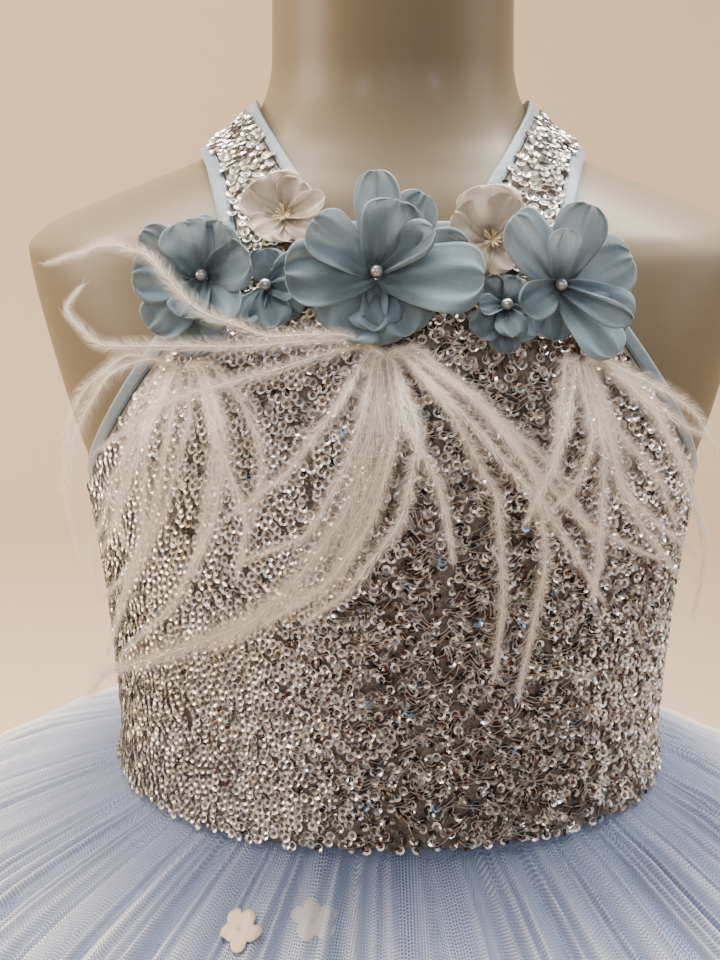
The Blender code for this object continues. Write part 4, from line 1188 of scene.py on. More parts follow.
    def cups(self, points: Array, ahead: Array, normals: Array, gloom: Array, rng: np.random.Generator,
             plain: bool) -> Shape:
        """Eight-sided cups with a hole, each tilted up over the next one along its row and out at its foot.

        A ring's point is the centre plus its radius times the cosine and sine of its turn. The flat floor is
        painted in shade, and the rim's tone runs round it from painted shade to a painted highlight, at its
        foot high on the body and its head low down.

        Args:
            points: the cups' middles.
            ahead: where each one's row goes next.
            normals: the cloth's normals.
            gloom: how ruffled each is, and how often its colours are painted dark reflections.
            rng: what scatters the tilts and the tones.
            plain: whether the cup has no flat floor.

        Returns:
            The cups, with a tone for each point.
        """
        count = len(points)
        loose = self.scatter[0] + (self.scatter[1] - self.scatter[0]) * gloom
        along = unit(ahead - points)
        tilt = np.tan(np.radians(self.lap + loose * rng.normal(0, 1, count)))[:, None]
        lean = np.tan(np.radians(loose * rng.normal(0, 1, count)))[:, None]
        rise = np.array([0, 0, math.tan(math.radians(self.droop))])
        out = unit(normals - tilt * along + lean * np.cross(normals, along) + rise)
        along = unit(along - np.sum(along * out, axis=1, keepdims=True) * out)
        across = np.cross(out, along)
        turn = np.arange(self.sides) * 2 * math.pi / self.sides
        turn = turn + rng.uniform(0, math.pi / 4, count)[:, None]
        flat = np.cos(turn)[..., None] * along[:, None] + np.sin(turn)[..., None] * across[:, None]
        rings = [(self.hole, 0.0), (self.floor, 0.0), (self.diameter / 2, self.cup)]
        rings = rings[1:] if plain else rings
        grid = [points[:, None] + radius * flat + high * out[:, None] for radius, high in rings]
        grid = np.stack(grid, axis=1)
        faces = grid_faces(len(rings), self.sides, wrap=True)
        faces = faces[:, ::-1] + np.arange(count)[:, None, None] * len(rings) * self.sides
        # painted light: each rim is painted bright on the side that lit turns to and in shade on the other,
        # and its floor in shade
        head = np.arctan2(across[:, 2], along[:, 2])
        spread, looser = self.lit_scatter
        lit = math.pi * smooth_step(points[:, 2], *self.lit_range) + self.lit_turn
        lit = lit + rng.normal(0, spread, count) * (1 + looser * gloom)
        side = smooth_step(0.5 + 0.5 * np.cos(turn - (head + lit)[:, None]), *self.lit_edge)[..., None]
        dark = self.drawn((self.neat_painted_shade, self.ruffled_painted_shade_and_reflections), gloom, rng)[:, None]
        bright = self.drawn((self.neat_painted_lit, self.ruffled_painted_lit_and_glints), gloom, rng)[:, None]
        rim = dark + (bright - dark) * side
        rim = np.stack([rim, np.roll(rim, -1, axis=1), np.roll(rim, -1, axis=1), rim], axis=2)
        floor = np.broadcast_to(dark[:, :, None] * self.shadow, rim.shape)
        tone = np.stack([rim] if plain else [floor, rim], axis=1)
        return Shape(grid.reshape(-1, 3), [faces.reshape(-1, 4)], None, np.clip(tone, 0, 1).reshape(-1, 3))

    def threads(self, points: Array, normals: Array, linked: Array, gloom: Array) -> Shape:
        """Flat stitches from each hole over the sequin's edge to the next, as ribbons bowed outwards."""
        start, end = points[:, :-1][linked], points[:, 1:][linked]
        out = normals[:, :-1][linked]
        wide = self.thread[0] + (self.thread[1] - self.thread[0]) * gloom[:, :-1][linked]
        side = unit(np.cross(end - start, out)) * wide[:, None] / 2
        bow = (0.8 + 0.5 * gloom[:, :-1][linked])[:, None] * np.array([0.25, 1.0, 0.25])
        share = np.array([0.0, 0.5, 1.0])
        middle = start[:, None] + (end - start)[:, None] * share[:, None] + out[:, None] * bow[..., None]
        grid = np.stack([middle - side[:, None], middle + side[:, None]], axis=2)
        faces = grid_faces(*grid.shape[1:3]) + np.arange(len(grid))[:, None, None] * share.size * 2
        return Shape(grid.reshape(-1, 3), [faces.reshape(-1, 4)])

    def sew(self, name: str, mapping: Callable, places: tuple[Array, Array], materials: tuple,
            gloom: Callable | float, keep: Callable | None = None) -> None:
        """Places the sequins of one area and the thread that holds them.

        Args:
            name: what the area is called.
            mapping: gives the points, normals and who is inside for some places.
            places: the grid of places, and the ones just ahead.
            materials: the film's and the thread's.
            gloom: how ruffled the area is and how much painted dark reflection it has, or what takes the
                points and gives that.
            keep: takes the points and gives which of them this area has.
        """
        rng = np.random.default_rng(self.seed + len(name))
        points, normals, inside = mapping(places[0])
        further, _, _ = mapping(places[1])
        ruffled = gloom(points) if callable(gloom) else np.full(points.shape[:2], gloom)
        gaps = self.missing[0] + (self.missing[1] - self.missing[0]) * ruffled
        inside &= rng.random(inside.shape) > gaps
        if keep is not None:
            inside &= keep(points)
        plain = "back" in name
        film = self.cups(points[inside], further[inside], normals[inside], ruffled[inside], rng, plain)
        film.to_object("sequins_" + name, materials[0], "sequins", smooth=False)
        linked = inside[:, :-1] & inside[:, 1:]
        self.threads(points, normals, linked, ruffled).to_object("stitches_" + name, materials[1], "sequins")

    def build(self) -> None:
        """Sews the front, the backs and the straps."""
        materials = (SequinFilm().material(), MetallicThread().material())
        front = self.wandering((-190, -4), (190, 190), swirl=3.0)
        back = self.wandering((-190, -4), (190, 170), swirl=2.4)
        strap = self.wandering((0, -64), (40, 64), swirl=1.6)
        mirror = np.array([-1, 1, 1])

        def on_right(places: Array) -> tuple[Array, Array, Array]:
            """The left strap's places on the right one."""
            points, normals, inside = self.on_strap(places)
            return points * mirror, normals * mirror, inside

        for name, keep in (("left", lambda q: q[..., 0] >= 0), ("right", lambda q: q[..., 0] < 0)):
            for side, places, gloom in ((Side.FRONT, front, self.gloom), (Side.BACK, back, 0.3)):
                area = f"{side.name.lower()}_{name}"
                self.sew(area, lambda p, side=side: self.on_panel(side, p), places, materials, gloom, keep)
        self.sew("strap_left", self.on_strap, strap, materials, 0.12)
        self.sew("strap_right", on_right, strap, materials, 0.12)


@dataclass
class GatheredSkirt:
    """One layer of the skirt: a wall that swells from the waist in deepening folds, gathered along its top.

    A row is a height, half of the width, half of the depth and how high the folds stand. The gathers take up
    what the flat cloth has over the folded ring's length, so the cloth keeps its width from waist to hem.
    gathers is how many there are in a fold, and panel how many columns the mesh has in one. The layer sags
    on the wearer's left. drift and pull are sine waves that make the gathers and the cloth's run uneven. A
    depth is how far below the waist the gathers, the sag and the painted light on the crests have come in
    fully, and above fade_depth the net is painted in shade towards the waist.
    """

    name: str
    rows: tuple
    folds: int
    phase: float
    gathers: int
    flat_width: float
    panel: int
    row_count: int
    inset: float = 0.0
    centre: float = -2.5
    square: float = 2.2
    deepest: float = 3.1
    sag: float = 5.5
    drift: tuple = ((1.5, 23, 1), (1.4, 57, 2))
    pull: tuple = ((6, 9, 1), (3.5, 37, 2), (1.6, 83, 0))
    row_spread: float = 1.7
    gather_depth: float = 9.0
    sag_depth: float = 25.0
    fade_depth: float = 30.0
    creased: tuple = (0.55, 0.6)
    panel_shift: float = 37.3

    def profile(self, height: Array) -> tuple[Array, Array, Array]:
        """Half width, half depth and fold height at each height."""
        heights, widths, depths, folds = np.array(self.rows[::-1], float).T
        return tuple(curve_through(height, heights, values) for values in (widths, depths, folds))

    def crest(self, around: Array, height: Array) -> Array:
        """How high a gather stands, from -1 or so to 1: a peaked wave whose pitch and height wander."""
        drift = sines(around, self.drift, 1.1 * np.sin(height / 37 + 5 * around))
        loose = 0.62 + 0.38 * np.sin(17 * around + 0.6 + height / 60) * np.sin(31 * around + 2.1)
        wave = self.folds * self.gathers * around + drift
        return loose * (np.cos(wave) + 0.28 * np.cos(2 * wave) - 0.1)

    def surface(self, around: Array, height: Array, off: float = 0.0,
                gathered: float = 1.0) -> tuple[Array, Array]:
        """Points on the layer, and the way out of it.

        A section is a squared ring. Its radius is raised by the fold times the cosine of folds times around,
        made uneven by slower sines, and by the gathers, a finer wave that fades as the folds take up cloth.

        Args:
            around: the place round the body in radians, 0 in front, and positive on the wearer's left.
            height: the height there.
            off: how far outside the layer.
            gathered: how much of the gathers is left.

        Returns:
            The points and the unit ways out.
        """
        width, depth, fold = self.profile(height)
        turn = around + 0.35 / self.folds * np.sin(5 * around + self.phase)
        turn = turn + 0.3 / self.folds * np.sin(11 * around + 2 * self.phase)
        uneven = 0.78 + 0.22 * np.sin(3 * turn + self.phase) * np.sin(7 * turn + 1.3)
        sway = 0.5 / self.folds * np.sin(2 * math.pi * height / 240 + 3 * turn)
        turn = turn + sway * fold / self.rows[-1][3]
        ring = math.pi * (width + depth)
        folded = ring * np.sqrt(1 + 16 * (0.8 * fold * self.folds / ring) ** 2)
        count = self.folds * self.gathers
        spare = np.sqrt(np.maximum((self.flat_width / folded) ** 2 - 1, 0))
        deep = np.minimum(folded / count / 4 * spare, self.deepest)
        deep = deep * smooth_step(-height, 0, self.gather_depth)
        gather = gathered * deep * self.crest(around, height)
        swell = fold * np.cos(self.folds * around) * uneven + gather - self.inset + off
        across = np.abs(np.sin(turn)) ** (2 / self.square) * np.sign(np.sin(turn))
        front = np.abs(np.cos(turn)) ** (2 / self.square) * np.sign(np.cos(turn))
        low = height - self.sag * across * smooth_step(-height, 0, self.sag_depth)
        points = np.stack([(width + swell) * across, self.centre - (depth + swell) * front, low], axis=-1)
        slope = self.profile(height + 0.5)[0] - self.profile(height - 0.5)[0]
        return points, unit(np.stack([across, -front, slope + 0 * across], axis=-1))

    def down(self) -> tuple[Array, Array]:
        """The rows' heights, closer together at the waist, and the length of cloth down to each."""
        top, bottom = self.rows[0][0], self.rows[-1][0]
        height = top + (bottom - top) * np.linspace(0, 1, self.row_count) ** self.row_spread
        width = self.profile(height)[0]
        return height, np.append(0, np.cumsum(np.hypot(np.diff(height), np.diff(width))))

    def shape(self) -> Shape:
        """The layer as one sheet, closed behind.

        v of its UV runs down the cloth, which is pulled up and down a little round the body, and u is the
        length along the row from the crest of the fold that the face is on, so that the net keeps its pitch
        wherever it is gathered. Its tone is painted light on a gather's crest and painted shade in its valley
        and towards the waist.
        """
        height, length = self.down()
        columns = self.panel * self.folds
        around = np.linspace(-math.pi, math.pi, columns, endpoint=False)
        points, _ = self.surface(around + 0 * height[:, None], height[:, None] + 0 * around)
        level = self.crest(around + 0 * height[:, None], height[:, None] + 0 * around)
        away = smooth_step(-height, 0, self.fade_depth)[:, None]
        # painted light and shade: lighter on a gather's crest and a fold's swell, painted shade in the
        # valleys and towards the waist, under the bodice
        light = 0.5 + 0.5 * level * (0.6 + 0.4 * away) + 0.18 * np.cos(self.folds * around) * away
        light = light * (0.2 + 0.8 * away)
        tone = np.stack([np.clip(light, 0, 1), smooth_step(level, *self.creased), 0 * level], axis=-1)
        faces = grid_faces(self.row_count, columns, wrap=True)
        closed = np.concatenate([points, points[:, :1]], axis=1)
        run = np.linalg.norm(np.diff(closed, axis=1), axis=2)
        run = np.concatenate([np.zeros((self.row_count, 1)), np.cumsum(run, axis=1)], axis=1)
        crest = (np.arange(columns) + self.panel // 2) // self.panel
        rows, steps = np.arange(self.row_count - 1)[:, None], np.arange(columns)
        pull = sines(np.append(around, math.pi), self.pull)
        corners = []
        for down, along in ((0, 0), (0, 1), (1, 1), (1, 0)):
            u = run[rows + down, steps + along] - run[rows + down, crest * self.panel]
            u = u + self.panel_shift * crest
            corners.append(np.stack([u, length[rows + down] + pull[steps + along]], axis=-1))
        flat = np.stack(corners, axis=2).reshape(-1, 4, 2)
        return Shape(points.reshape(-1, 3), [faces[:, ::-1]], [flat[:, ::-1]], tone.reshape(-1, 3))

    def build(self, material: Material, slot: str, nodes: tuple[str, ...]) -> bpy.types.Object:
        piece = self.shape().to_object(self.name, material, slot, nodes)
        flat = (self.flat_width * MM, self.down()[1][-1] * MM)
        return piece


@dataclass
class Skirt:
    """The tulle skirt: a pale net, a second net close behind it, the blue underskirt and its cut-outs.

    A cut-out's place is degrees round the body from the front, a height, and how it is turned.
    """

    outer_rows: tuple = (
        (3, 94.0, 76.5, 0), (-1, 94.8, 77.3, 0.1), (-8, 110, 94, 1.6), (-35, 163, 148, 4.0),
        (-69, 198, 186, 6.5), (-130, 240, 229, 9.0), (-240, 283, 274, 12.0), (-390, 326, 318, 14.0),
        (-560, 363, 357, 16.0),
    )
    under_rows: tuple = (
        (3, 93.0, 75.5, 0), (-2, 93.2, 75.8, 0), (-12, 102, 86, 0.8), (-45, 160, 145, 3.0),
        (-140, 216, 205, 5.0), (-545, 324, 318, 9.0),
    )
    shown_motifs: tuple = ((-19.0, -13.0, 32.0),)
    veiled_motifs: tuple = (
        (-9.8, -12.2, 70.0), (17.0, -215.0, 10.0), (41.0, -150.0, 50.0), (63.0, -290.0, 0.0),
        (88.0, -190.0, 35.0), (112.0, -340.0, 60.0), (137.0, -230.0, 15.0), (161.0, -165.0, 44.0),
        (184.0, -300.0, 30.0), (207.0, -200.0, 5.0), (231.0, -350.0, 55.0), (254.0, -240.0, 22.0),
        (279.0, -160.0, 64.0), (302.0, -320.0, 12.0), (326.0, -235.0, 40.0), (3.0, -390.0, 25.0),
        (48.0, -430.0, 33.0), (95.0, -470.0, 8.0), (143.0, -440.0, 51.0), (192.0, -480.0, 17.0),
        (240.0, -455.0, 62.0), (287.0, -475.0, 38.0), (334.0, -440.0, 3.0),
    )
    motif_radius: float = 7.4
    motif_lobes: int = 5
    motif_steps: int = 60
    motif_rings: tuple = (0.02, 0.35, 0.7, 1.0)
    motif_lobe: tuple = (0.62, 0.38)
    motif_thickness: float = 0.35

    def motif(self, layer: GatheredSkirt, off: float, place: tuple[float, float, float]) -> Shape:
        """A five-lobed cut-out that lies on a layer: each lobe is a circle off the cut-out's middle.

        Args:
            layer: what it lies on.
            off: how far outside the layer's ungathered surface.
            place: where its middle is round the body and in height, and how it is turned.

        Returns:
            The cut-out as a thin closed wall.
        """
        around, height, turned = place
        turn = full_turn(self.motif_steps)
        lobe = 2 * math.pi / self.motif_lobes
        off_lobe = np.mod(turn + math.radians(turned), lobe) - lobe / 2
        middle, lobe_radius = self.motif_lobe
        edge = middle * np.cos(off_lobe)
        edge = edge + np.sqrt(np.maximum(lobe_radius**2 - (middle * np.sin(off_lobe)) ** 2, 0))
        radius = np.array(self.motif_rings)[:, None] * self.motif_radius * edge
        width, _, _ = layer.profile(np.float64(height))
        higher, _, _ = layer.profile(np.float64(height + 0.5))
        slope = 1 / math.hypot(1, 2 * (width - higher))
        at = math.radians(around) + radius * np.cos(turn) / (width + 6)
        low, out = layer.surface(at, height + slope * radius * np.sin(turn), off, gathered=0.25)
        faces = grid_faces(len(self.motif_rings), self.motif_steps, wrap=True)
        return wall((low + self.motif_thickness * out).reshape(-1, 3), low.reshape(-1, 3), faces)

    def build(self) -> None:
        """Makes the three layers and the motifs."""
        outer = GatheredSkirt("tulle_outer_net", self.outer_rows, folds=42, phase=0.4, gathers=3,
                              flat_width=2750.0, panel=30, row_count=52)
        second = GatheredSkirt("tulle_second_net", self.outer_rows, folds=42, phase=0.4, gathers=2,
                               flat_width=2600.0, panel=16, row_count=44, inset=4.5)
        under = GatheredSkirt("blue_underskirt_cloth", self.under_rows, folds=18, phase=1.9, gathers=3,
                              flat_width=2300.0, panel=24, row_count=40)
        # each net's second colour is its crests' painted light, its third its valleys' painted shade
        outer.build(HexNet("pale_blue_hexagonal_tulle", "#EBEAE7", "#74819F").material(), "tulle",
                    ("skirt_outer_front", "skirt_outer_back"))
        second.build(HexNet("blue_hexagonal_tulle", "#A9B4C8", "#5C6D92", pitch=1.3).material(), "tulle", ())
        under.build(LiningNet().material(), "underskirt", ("skirt_under_front", "skirt_under_back"))
        motifs = [self.motif(outer, 3.2, place) for place in self.shown_motifs]
        motifs += [self.motif(second, 0.6, place) for place in self.veiled_motifs]
        felt = PlainCloth("ivory_felt_cut_out", "#BDB09A").material()
        Shape.joined(motifs).to_object("ivory_cut_outs", felt, "tulle")


@dataclass(frozen=True)
class Petal:
    """One petal: where it points, its size, how it rises and curls along, and how it cups and rolls across.

    angle turns anticlockwise from the wearer's left, as seen from in front. rise is how steeply the petal
    leaves the middle and curl how much steeper it gets to its tip. cup turns both sides up, roll turns one
    side over, and layer is how far in front of the others it starts.
    """

    angle: float
    length: float
    width: float
    rise: float
    curl: float
    cup: float
    roll: float
    layer: float


@dataclass
class ClothFlower:
    """A cloth flower on the bodice, with a pearl or a thread tuft in its middle.

    pearl_seat is how high a small and a large flower's pearl sits, against the radius. A petal begins root
    away from the middle, its mesh ends at the share tip of its length, and rolled is the range of its width
    that a roll turns over.
    """

    body: BodySurface
    node: str
    x: float
    height: float
    radius: float
    lift: float
    petals: tuple[Petal, ...]
    large: bool
    pearl_radius: float = 1.75
    pearl_seat: tuple = (0.06, 0.05)
    pearl_grid: tuple = (16, 28)
    rows: int = 18
    columns: int = 21
    cloth: float = 0.2
    tip: float = 0.992
    root: float = 0.9
    rolled: tuple = (0.25, 0.7)
    pole: float = 0.02

    def basis(self) -> tuple[Array, Array, Array, Array]:
        """Where the flower sits, and its right, up and out."""
        middle, out = self.body.on_form(self.x, self.height, -1, self.lift)
        right = np.cross([0, 0, 1], out)
        right /= np.linalg.norm(right)
        return middle, right, np.cross(out, right), out

    def petal(self, petal: Petal, number: int) -> Shape:
        """One petal as a grid of places along and across it.

        Along it, the spine turns from rise to rise plus curl. Its half width grows with the root of the way
        along and closes like a circle at the tip. Across it, the section turns by cup, by roll near one
        side, and waves near the edges.

        Args:
            petal: its sizes.
            number: which one it is, so that no two wave alike.

        Returns:
            The petal's sheet, with tone rising from its root, which is painted in shade, to its edge.
        """
        middle, right, up, out = self.basis()
        along = np.sin(np.linspace(0.0, 1.0, self.rows) * math.pi / 2) * self.tip
        across = np.linspace(-1, 1, self.columns)
        steep = np.radians(petal.rise + petal.curl * along**1.6)
        step = np.diff(along, prepend=0) * petal.length
        reach, climb = self.root + np.cumsum(np.cos(steep) * step), np.cumsum(np.sin(steep) * step)
        half = petal.width / 2 * (0.34 + 1.1 * along**0.75) * np.sqrt(np.maximum(1 - along**5, 0))
        side = np.sign(petal.roll) or 1.0
        bend = np.radians(petal.cup) * across * (0.95 - 0.75 * along[:, None])
        bend = bend + side * np.radians(abs(petal.roll)) * smooth_step(side * across, *self.rolled)
        gap = across[1] - across[0]
        lateral = np.cumsum(np.cos(bend), axis=1) * gap
        lifted = np.cumsum(np.sin(bend), axis=1) * gap
        middle_column = np.s_[:, self.columns // 2 : self.columns // 2 + 1]
        lateral, lifted = lateral - lateral[middle_column], lifted - lifted[middle_column]
        down = along[:, None]
        wave = 0.15 * across**2 * np.sin(2.4 * math.pi * along + 2.1 * number)[:, None] * np.sign(across)
        wave = wave + 0.09 * np.cos(3 * math.pi * across + number) * (1 - down) ** 2
        wave = wave + 0.17 * np.sin(1.9 * math.pi * across + number) * down**2.5
        wave = wave + 0.06 * np.sin(4.3 * math.pi * across + 1.7 * number) * down**4
        turn = math.radians(petal.angle)
        ahead = math.cos(turn) * right + math.sin(turn) * up
        sideways = np.cross(out, ahead)
        facing = -np.sin(steep)[:, None] * ahead + np.cos(steep)[:, None] * out
        points = middle + reach[:, None, None] * ahead + (climb[:, None, None] + petal.layer) * out
        points = points + (half[:, None] * lateral)[..., None] * sideways
        points = points + (half[:, None] * (lifted + wave))[..., None] * facing[:, None]
        # tone's red runs from the painted shade at the root out to the edge
        red = np.maximum(down + 0 * across, 0.96 * np.abs(across) ** 3 * (down > 0.2))
        green = np.full(red.shape, 0.5 + 0.5 * math.sin(2.4 * number + self.x))
        tone = np.stack([red, green, 0 * red], axis=-1).reshape(-1, 3)
        return Shape(points.reshape(-1, 3), [grid_faces(self.rows, self.columns)], None, tone)

    def pearl(self) -> Shape:
        """A round bead on the flower's middle, closed at its poles by rings too small to see."""
        middle, _, _, out = self.basis()
        centre = middle + (self.pearl_seat[self.large] * self.radius + 2.2) * out
        rings, steps = self.pearl_grid
        turn = full_turn(steps)
        fall = np.linspace(self.pole, math.pi - self.pole, rings)[:, None]
        ball = [np.sin(fall) * np.cos(turn), np.sin(fall) * np.sin(turn), np.cos(fall) + 0 * turn]
        return tube(centre + self.pearl_radius * np.stack(ball, axis=-1))

    def build(self, cloth: Material, bead: Material | None, slot: str) -> None:
        """Makes the petals as one thin piece, and the pearl if the flower has one."""
        petals = [self.petal(petal, k) for k, petal in enumerate(self.petals)]
        piece = Shape.joined(petals).to_object("petals_" + self.node, cloth, slot, (self.node,))
        thin = piece.modifiers.new("cloth", "SOLIDIFY")
        thin.thickness = self.cloth * MM
        thin.offset = 0.0
        if bead is not None:
            pearl = self.node.replace("flower", "pearl")
            self.pearl().to_object("bead_" + pearl, bead, "pearl", (pearl,))


@dataclass
class Posy:
    """The row of cloth flowers along the neckline, with each petal laid out as it lies.

    A flower is its CAD node, its place across and in height, its radius, how far off the form it sits, and
    its petals, the ones behind first. A petal's row holds Petal's fields in their order.
    """

    body: BodySurface
    tuft_count: int = 26
    tuft_reach: float = 4.2
    tuft_rings: int = 7
    tuft_corners: tuple = (0.0, 2.1, 4.2)
    arrangement: tuple = (
        ("flower_large_centre", -5.6, 174.5, 27, 8.5, (
            (90, 29, 12, 22, 14, 8, 0, -2.0), (58, 26, 13, 16, 6, 14, 0, -2.5),
            (14, 27, 15, 12, 10, 15, 0, -2.5), (-122, 20, 20, 8, -8, 10, 0, -1.5),
            (-64, 19, 20, 8, -6, 10, 0, -1.5), (-92, 16, 14, 8, 8, 14, 0, -2.2),
            (-7, 30, 20, 14, 2, 18, 0, 0.6), (184, 25.5, 19, 12, 8, 24, 0, 0.6),
            (146, 23, 14, 20, 8, 30, 0, 0.8), (70, 21, 17, 30, 6, 20, 0, 0.9),
            (28, 21, 12, 28, 18, 30, -130, 1.2),
        )),
        ("flower_large_right", -52.5, 173.5, 19.5, 8.5, (
            (-92, 22.5, 16, 8, -5, 12, 0, -1.4), (-130, 21, 15, 12, 0, 18, 0, -1.0),
            (184, 20, 15, 16, 10, 18, 0, -0.6), (148, 21, 10, 24, 10, 30, 0, 0.2),
            (111, 17, 15, 32, 20, 40, 0, 0.5), (66, 17, 16, 26, 12, 20, 0, 0.2),
            (14, 17, 15, 24, 6, 20, 50, 0.6), (-50, 18, 13, 22, 6, 24, -50, 0.4),
            (-100, 15, 11, 30, 6, 20, 0, 1.0),
        )),
        ("flower_large_left", 43.5, 171, 19, 10.0, (
            (68, 24, 14, 18, 10, 18, 0, -1.0), (18, 22, 17, 14, 2, 12, 0, -1.2),
            (-104, 15, 11, 10, 0, 16, 0, -1.2), (-30, 22, 14, 14, 4, 16, 0, -0.8),
            (131, 25, 15, 22, 12, 30, 0, 0.5), (94, 18, 9, 40, 16, 40, 0, 0.9),
            (-60, 25, 13, 20, -6, 24, 0, 0.5), (-38, 23, 9, 32, -4, 30, 120, 1.2),
            (205, 15, 12, 34, -30, 20, -90, 1.2),
        )),
        ("flower_small_right", -36, 172, 8.5, 5.5, (
            (95, 10, 11, 16, 10, 26, 0, -0.5), (-38, 12.5, 9, 10, 4, 20, 0, -0.5),
            (29, 12.5, 10, 18, 8, 30, 0, 0.0), (-120, 12, 8, 16, 4, 40, 0, 0.2),
            (-77, 12.5, 12, 16, -4, 26, 0, 0.7), (-8, 11, 8, 28, 8, 40, 90, 0.7),
        )),
        ("flower_small_left", 30, 167, 8, 5.5, (
            (135, 9, 9, 14, 10, 26, 0, -0.4), (60, 8, 9, 16, 10, 26, 0, -0.4),
            (-97, 13.5, 9, 12, 2, 30, 0, -0.3), (-137, 13, 9, 22, -10, 66, 0, 0.4),
            (-50, 12, 9, 22, -4, 60, 0, 0.4), (-88, 10.5, 9, 34, -10, 60, 0, 0.9),
            (190, 9, 7, 34, -10, 60, 60, 0.8), (5, 10, 8, 20, 4, 40, 0, 0.3),
        )),
        ("flower_ivory_right", -31, 189, 10, 7.0, (
            (117, 12.5, 16, 22, 22, 16, 0, -1.2), (150, 13, 13, 18, 14, 16, 0, -0.8),
            (60, 11, 12, 26, 18, 20, 0, -0.6), (-140, 9.5, 10, 14, 6, 22, 0, -0.4),
            (-30, 11.5, 10, 16, 0, 20, 0, 0.0), (12, 13.5, 9, 30, -4, 52, 80, 0.7),
            (-75, 8, 9, 12, 0, 20, 0, -0.2),
        )),
        ("flower_ivory_left", 26, 182.5, 8.5, 9.0, (
            (95, 15.5, 17, 26, 10, 14, 0, -1.4), (62, 13.5, 11, 24, 10, 18, 0, -1.0),
            (148, 13, 12, 18, 8, 16, 0, -0.8), (-140, 10, 10, 10, 4, 18, 0, -0.5),
            (-65, 9.5, 10, 12, 0, 18, 0, -0.3), (10, 9, 9, 20, 8, 22, 0, -0.2),
        )),
    )

    def flowers(self) -> list[ClothFlower]:
        """The five blue flowers and the two ivory ones."""
        return [
            ClothFlower(self.body, node, *place, tuple(Petal(*row) for row in rows), "large" in node)
            for node, *place, rows in self.arrangement
        ]

    def tuft(self, flower: ClothFlower, count: int, reach: float, seed: int) -> Shape:
        """Short stamens that loop out of an ivory flower's middle, as three-sided tubes along bent lines.

        Args:
            flower: whose they are.
            count: how many.
            reach: the longest one's length.
            seed: what scatters them.

        Returns:
            The stamens, closed at their tips.
        """
        middle, right, up, out = flower.basis()
        rng = np.random.default_rng(seed)
        turn = rng.uniform(0, 2 * math.pi, count)[:, None]
        length = rng.uniform(0.6, 1.0, count)[:, None] * reach
        share = np.linspace(0, 1, self.tuft_rings)
        side = np.cos(turn)[..., None] * right + np.sin(turn)[..., None] * up
        spread = (length * np.sin(share * 1.9) * 0.75)[..., None]
        rise = (length * (share * 1.3 - 0.75 * share**2))[..., None]
        path = middle + 0.3 * out + spread * side + rise * out
        ahead = unit(np.gradient(path, axis=1))
        across = unit(np.cross(ahead, out))
        lifted = np.cross(across, ahead)
        thick = (0.32 - 0.12 * share)[:, None]
        ring = [path + thick * (math.cos(a) * across + math.sin(a) * lifted) for a in self.tuft_corners]
        grid = np.stack(ring, axis=2)
        corners = len(self.tuft_corners)
        first = np.arange(count)[:, None] * self.tuft_rings * corners
        faces = grid_faces(self.tuft_rings, corners, wrap=True) + first[..., None]
        ends = first + (self.tuft_rings - 1) * corners + np.arange(corners)
        return Shape(grid.reshape(-1, 3), [faces.reshape(-1, 4), ends])

    def build(self) -> None:
        """Makes every flower with its pearl or tuft."""
        # each cloth's third colour is the painted shade at its petals' roots
        blue = PetalCloth("dusty_blue_petal_satin", "#647681", "#4E5C64", "#607078", glow=0.6).material()
        ivory = PetalCloth("ivory_petal_chiffon", "#C4BAAA", "#9C907C", "#CEC5B6", glow=0.4,
                           alpha=0.74).material()
        bead = PearlGlaze().material()
        cream = PlainCloth("cream_stamen_thread", "#CDBF98", grain=0.4).material()
        for flower in self.flowers():
            if "ivory" not in flower.node:
                flower.build(blue, bead, "blue_petals")
                continue
            flower.build(ivory, None, "ivory_petals")
            tuft = self.tuft(flower, self.tuft_count, self.tuft_reach, len(flower.node))
            tuft.to_object("stamens_" + flower.node, cream, "ivory_petals")


